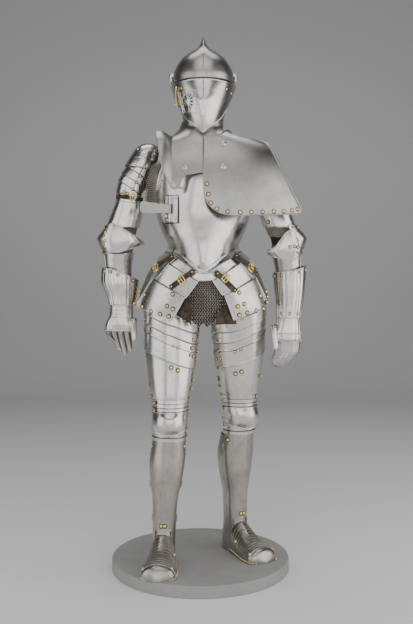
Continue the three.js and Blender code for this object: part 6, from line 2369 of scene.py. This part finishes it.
    def thumb(self, root: tuple[float, float, float], tip: tuple[float, float, float]) -> Shape:
        """A thumb of short lames between two places."""
        form = Form([
            Section(tip[2], 1.5, 1.5, 1.5, x=tip[0], y=tip[1]),
            Section(tip[2] + 3, 6, 6, 5, x=tip[0], y=tip[1] + 1),
            Section(tip[2] + 12, 9, 10, 8, x=tip[0], y=tip[1] + 2),
            Section(root[2] - 16, 11, 11, 11, x=root[0], y=root[1]),
            Section(root[2] - 4, 9, 9, 10, x=root[0], y=root[1] + 6),
            Section(root[2], 3, 3, 4, x=root[0], y=root[1] + 8),
        ])
        places = np.linspace(tip[2] + 1, root[2], 7)
        parts = []
        for low, high in zip(places[:-1], places[1:]):
            high = min(high + 2, root[2] - 1)
            parts.append(
                Band(form, -180, 180, low, high, lift=-1.2, lower=0.2, step=15, rise=3, thick=1.2).shape()
            )
        return merged(parts)

    def left_gauntlet(self) -> None:
        """The left gauntlet: a fluted cuff and a mitten of broad plates with roped knuckles and a thumb."""
        mouth = edge((-180, 985), (-90, 968), (0, 978), (90, 994), (180, 985))
        cuff = self.fluted(Band(self.cuff_form, -180, 180, 818, mouth, step=2), 8, 2.0, (-80, 80))
        self.put("gauntlet_cuff", merged([cuff.shape(), rolled(cuff, 2.4)]), Slot.BRIGHT, ["cuff"])
        heads = rivet_line(cuff, np.linspace(-160, 160, 11), True, 10, **SMALL_RIVET)
        hand = self.fluted(
            Band(self.cuff_form, -116, 116, 738, 826, lift=-4, lower=-1.6, step=2), 6, 1.8, (-90, 90)
        )
        shapes = [hand.shape(), rolled(hand, 1.6, top=False), self.thumb((240, -44, 798), (247, -58, 706))]
        for height, lift in ((742.0, 0.4), (764.0, -0.8)):
            angle = np.linspace(-96, 96, 70)
            z = np.full(70, height)
            ripple = 2.6 + 0.8 * np.cos(np.linspace(0, 30 * np.pi, 70))
            shapes.append(tube(self.cuff_form(angle, z, lift), self.cuff_form.normal(angle, z), ripple))
        self.put("gauntlet_hand", merged(shapes), Slot.BRIGHT, ["hand_plate"])
        folds = []
        for low, high, lift in ((650, 684, 0.6), (680, 706, 0.8), (702, 728, 0.0), (724, 742, -4.5)):
            folds.append(
                self.fluted(
                    Band(MITTEN, -100, 100, low, high, lift=lift - 1.6, lower=lift, step=3, rise=4), 4, 1.2,
                    (-80, 80)
                )
            )
        parts = [fold.shape() for fold in folds] + [rolled(fold, 1.2, top=False) for fold in folds]
        self.put("mitten_plates", merged(parts), Slot.SATIN, ["mitten"])
        angle = np.linspace(-150, 150, 9)
        z = np.full(9, 832.0)
        small = studs(self.cuff_form(angle, z, 0.2), self.cuff_form.normal(angle, z), **SMALL_RIVET)
        self.put("gauntlet_rivets", merged([heads, small]), Slot.GILT)


@dataclass(frozen=True)
class Softbox:
    """A tall soft light: where it stands, what it looks at, its size and its power."""

    name: str
    place: tuple[float, float, float]
    target: tuple[float, float, float]
    width: float
    height: float
    power: float

    def make(self) -> None:
        """Adds the light."""
        data = bpy.data.lights.new(self.name, "AREA")
        data.shape = "RECTANGLE"
        data.size = self.width
        data.size_y = self.height
        data.energy = self.power
        lamp = bpy.data.objects.new(self.name, data)
        lamp.location = self.place
        aim = Vector(self.target) - Vector(self.place)
        lamp.rotation_euler = aim.to_track_quat("-Z", "Y").to_euler()
        bpy.context.collection.objects.link(lamp)
        lamp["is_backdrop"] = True


class Studio:
    """The plain studio: a pale floor that turns up behind, a soft grey world, softboxes and the camera."""

    softboxes = (
        Softbox("left_softbox", (-3.0, -1.5, 1.5), (0.0, 0.0, 1.0), 2.6, 3.2, 38.0),
        Softbox("right_softbox", (3.0, -1.3, 1.5), (0.0, 0.0, 1.0), 3.4, 3.2, 68.0),
        Softbox("front_panel", (0.0, -5.0, 1.9), (0.0, 0.0, 1.0), 7.2, 3.4, 122.0),
        Softbox("top_softbox", (0.0, -1.9, 3.8), (0.0, -0.2, 0.6), 3.4, 2.2, 30.0),
        Softbox("floor_light", (0.0, 0.6, 4.2), (0.0, -0.2, 0.0), 3.2, 1.8, 44.0),
    )
    # Floor colour by depth: 0.90 at the front down to 0.72 up the sweep, a painted falloff of the light.
    painted_falloff_tones = (-0.6, 5.0, 0.90, 0.72)
    world_colour = (0.78, 0.79, 0.80, 1.0)
    world_strength = 0.04
    camera_place = (0.0207, -3.1, 1.0666)
    lens = 51.85
    sensor = 36.0
    shift = -0.0886

    def __init__(self) -> None:
        """Sets the whole studio up."""
        self.floor()
        self.world()
        for softbox in self.softboxes:
            softbox.make()
        self.camera()

    def floor(self) -> None:
        """A pale sweep, flat under the plinth then curving up behind it, with a painted falloff: darker
        further back.
        """
        turn = np.linspace(0, np.pi / 2, 24)
        radius = 1.8
        depth = np.concatenate([[-7.0, -2.0, 0.0], 3.6 + radius * np.sin(turn), [3.6 + radius]])
        height = np.concatenate([[0.0, 0.0, 0.0], radius * (1 - np.cos(turn)), [6.0]])
        across = np.linspace(-9, 9, 3)
        x, k = np.meshgrid(across, np.arange(len(depth)), indexing="ij")
        points = np.stack([x, depth[k.astype(int)], height[k.astype(int)]], axis=-1)
        rows = len(depth)
        j, i = np.meshgrid(np.arange(2), np.arange(rows - 1), indexing="ij")
        j, i = j.ravel(), i.ravel()
        faces = np.stack(
            [j * rows + i, (j + 1) * rows + i, (j + 1) * rows + i + 1, j * rows + i + 1], axis=-1
        )
        mesh = bpy.data.meshes.new("floor")
        mesh.from_pydata(points.reshape(-1, 3).tolist(), [], faces.tolist())
        mesh.polygons.foreach_set("use_smooth", np.ones(len(faces), bool))
        material = bpy.data.materials.new("floor_paint")
        material.use_nodes = True
        shader = material.node_tree.nodes["Principled BSDF"]
        tree = material.node_tree
        place = tree.nodes.new("ShaderNodeTexCoord")
        parts = tree.nodes.new("ShaderNodeSeparateXYZ")
        # Painted light falloff: the floor's colour darkens with depth along the sweep.
        painted_falloff = tree.nodes.new("ShaderNodeMapRange")
        colour = tree.nodes.new("ShaderNodeCombineColor")
        tree.links.new(place.outputs["Object"], parts.inputs["Vector"])
        tree.links.new(parts.outputs["Y"], painted_falloff.inputs["Value"])
        for name, value in zip(("From Min", "From Max", "To Min", "To Max"), self.painted_falloff_tones):
            painted_falloff.inputs[name].default_value = value
        for name in ("Red", "Green", "Blue"):
            tree.links.new(painted_falloff.outputs["Result"], colour.inputs[name])
        tree.links.new(colour.outputs["Color"], shader.inputs["Base Color"])
        shader.inputs["Roughness"].default_value = 0.8
        mesh.materials.append(material)
        floor = bpy.data.objects.new("floor", mesh)
        bpy.context.collection.objects.link(floor)
        floor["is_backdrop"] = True

    def world(self) -> None:
        """An even grey world."""
        world = bpy.data.worlds.new("studio")
        world.use_nodes = True
        background = world.node_tree.nodes["Background"]
        background.inputs["Color"].default_value = self.world_colour
        background.inputs["Strength"].default_value = self.world_strength
        bpy.context.scene.world = world

    def camera(self) -> None:
        """The camera, level and square to the front."""
        data = bpy.data.cameras.new("camera")
        data.lens = self.lens
        data.sensor_width = self.sensor
        data.shift_y = self.shift
        data.dof.use_dof = False
        camera = bpy.data.objects.new("camera", data)
        camera.location = self.camera_place
        camera.rotation_euler = (math.pi / 2, 0.0, 0.0)
        bpy.context.collection.objects.link(camera)
        bpy.context.scene.camera = camera


def note_size(moment: str, sizes: dict[str, object]) -> None:
    """Adds the bounds at a moment to the sizes."""
    sizes[moment] = [[float(part) for part in corner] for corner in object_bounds()]


def plinth(radius: float = 303.0, height: float = 40.0, soft: float = 4.0, sides: int = 160) -> Shape:
    """The round plinth: a lathe piece with a small soft edge above and below, centred under the suit."""
    turn = np.linspace(0, 2 * np.pi, sides, endpoint=False)
    bend = np.linspace(0, np.pi / 2, 5)
    out = np.concatenate([radius - soft + soft * np.sin(bend), radius - soft + soft * np.cos(bend)])
    up = np.concatenate([soft - height - soft * np.cos(bend), soft * np.sin(bend) - soft])
    points = np.stack([
        out[None, :] * np.cos(turn)[:, None],
        out[None, :] * np.sin(turn)[:, None],
        np.broadcast_to(up, (sides, len(up))),
    ], axis=-1)
    rows = len(out)
    j, i = (part.ravel() for part in np.meshgrid(np.arange(sides), np.arange(rows - 1), indexing="ij"))
    after = (j + 1) % sides
    quads = np.stack([j * rows + i, after * rows + i, after * rows + i + 1, j * rows + i + 1], axis=-1)
    first = np.arange(sides)
    centre = sides * rows
    below = np.stack([np.roll(first, -1) * rows, first * rows, np.full(sides, centre)], axis=-1)
    above = np.stack(
        [first * rows + rows - 1, np.roll(first, -1) * rows + rows - 1, np.full(sides, centre + 1)], axis=-1
    )
    caps = np.array([[0.0, 0.0, -height], [0.0, 0.0, 0.0]])
    points = np.concatenate([points.reshape(-1, 3), caps])
    return Shape(points - np.array([SUIT_AT[0], SUIT_AT[1], 0.0]), quads, np.concatenate([below, above]))


def main() -> None:
    """Builds the suit on its frame and the studio round it, and notes the bounds before and after."""
    logging.basicConfig(level=logging.INFO, format="%(name)s: %(message)s")
    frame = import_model()
    sizes: dict[str, object] = {}
    note_size("frame", sizes)
    shop = Workshop(Palette(), frame["nodes"])
    Helmet(shop)
    Trunk(shop)
    Hips(shop)
    for side in ("right", "left"):
        Leg(shop, side)
        Arm(shop, side)
    shop.put("base", plinth(), Slot.PLINTH, replaces=["plinth"])
    LOG.info("pieces are in place")
    Studio()
    note_size("dressed", sizes)


if __name__ == "__main__":
    main()
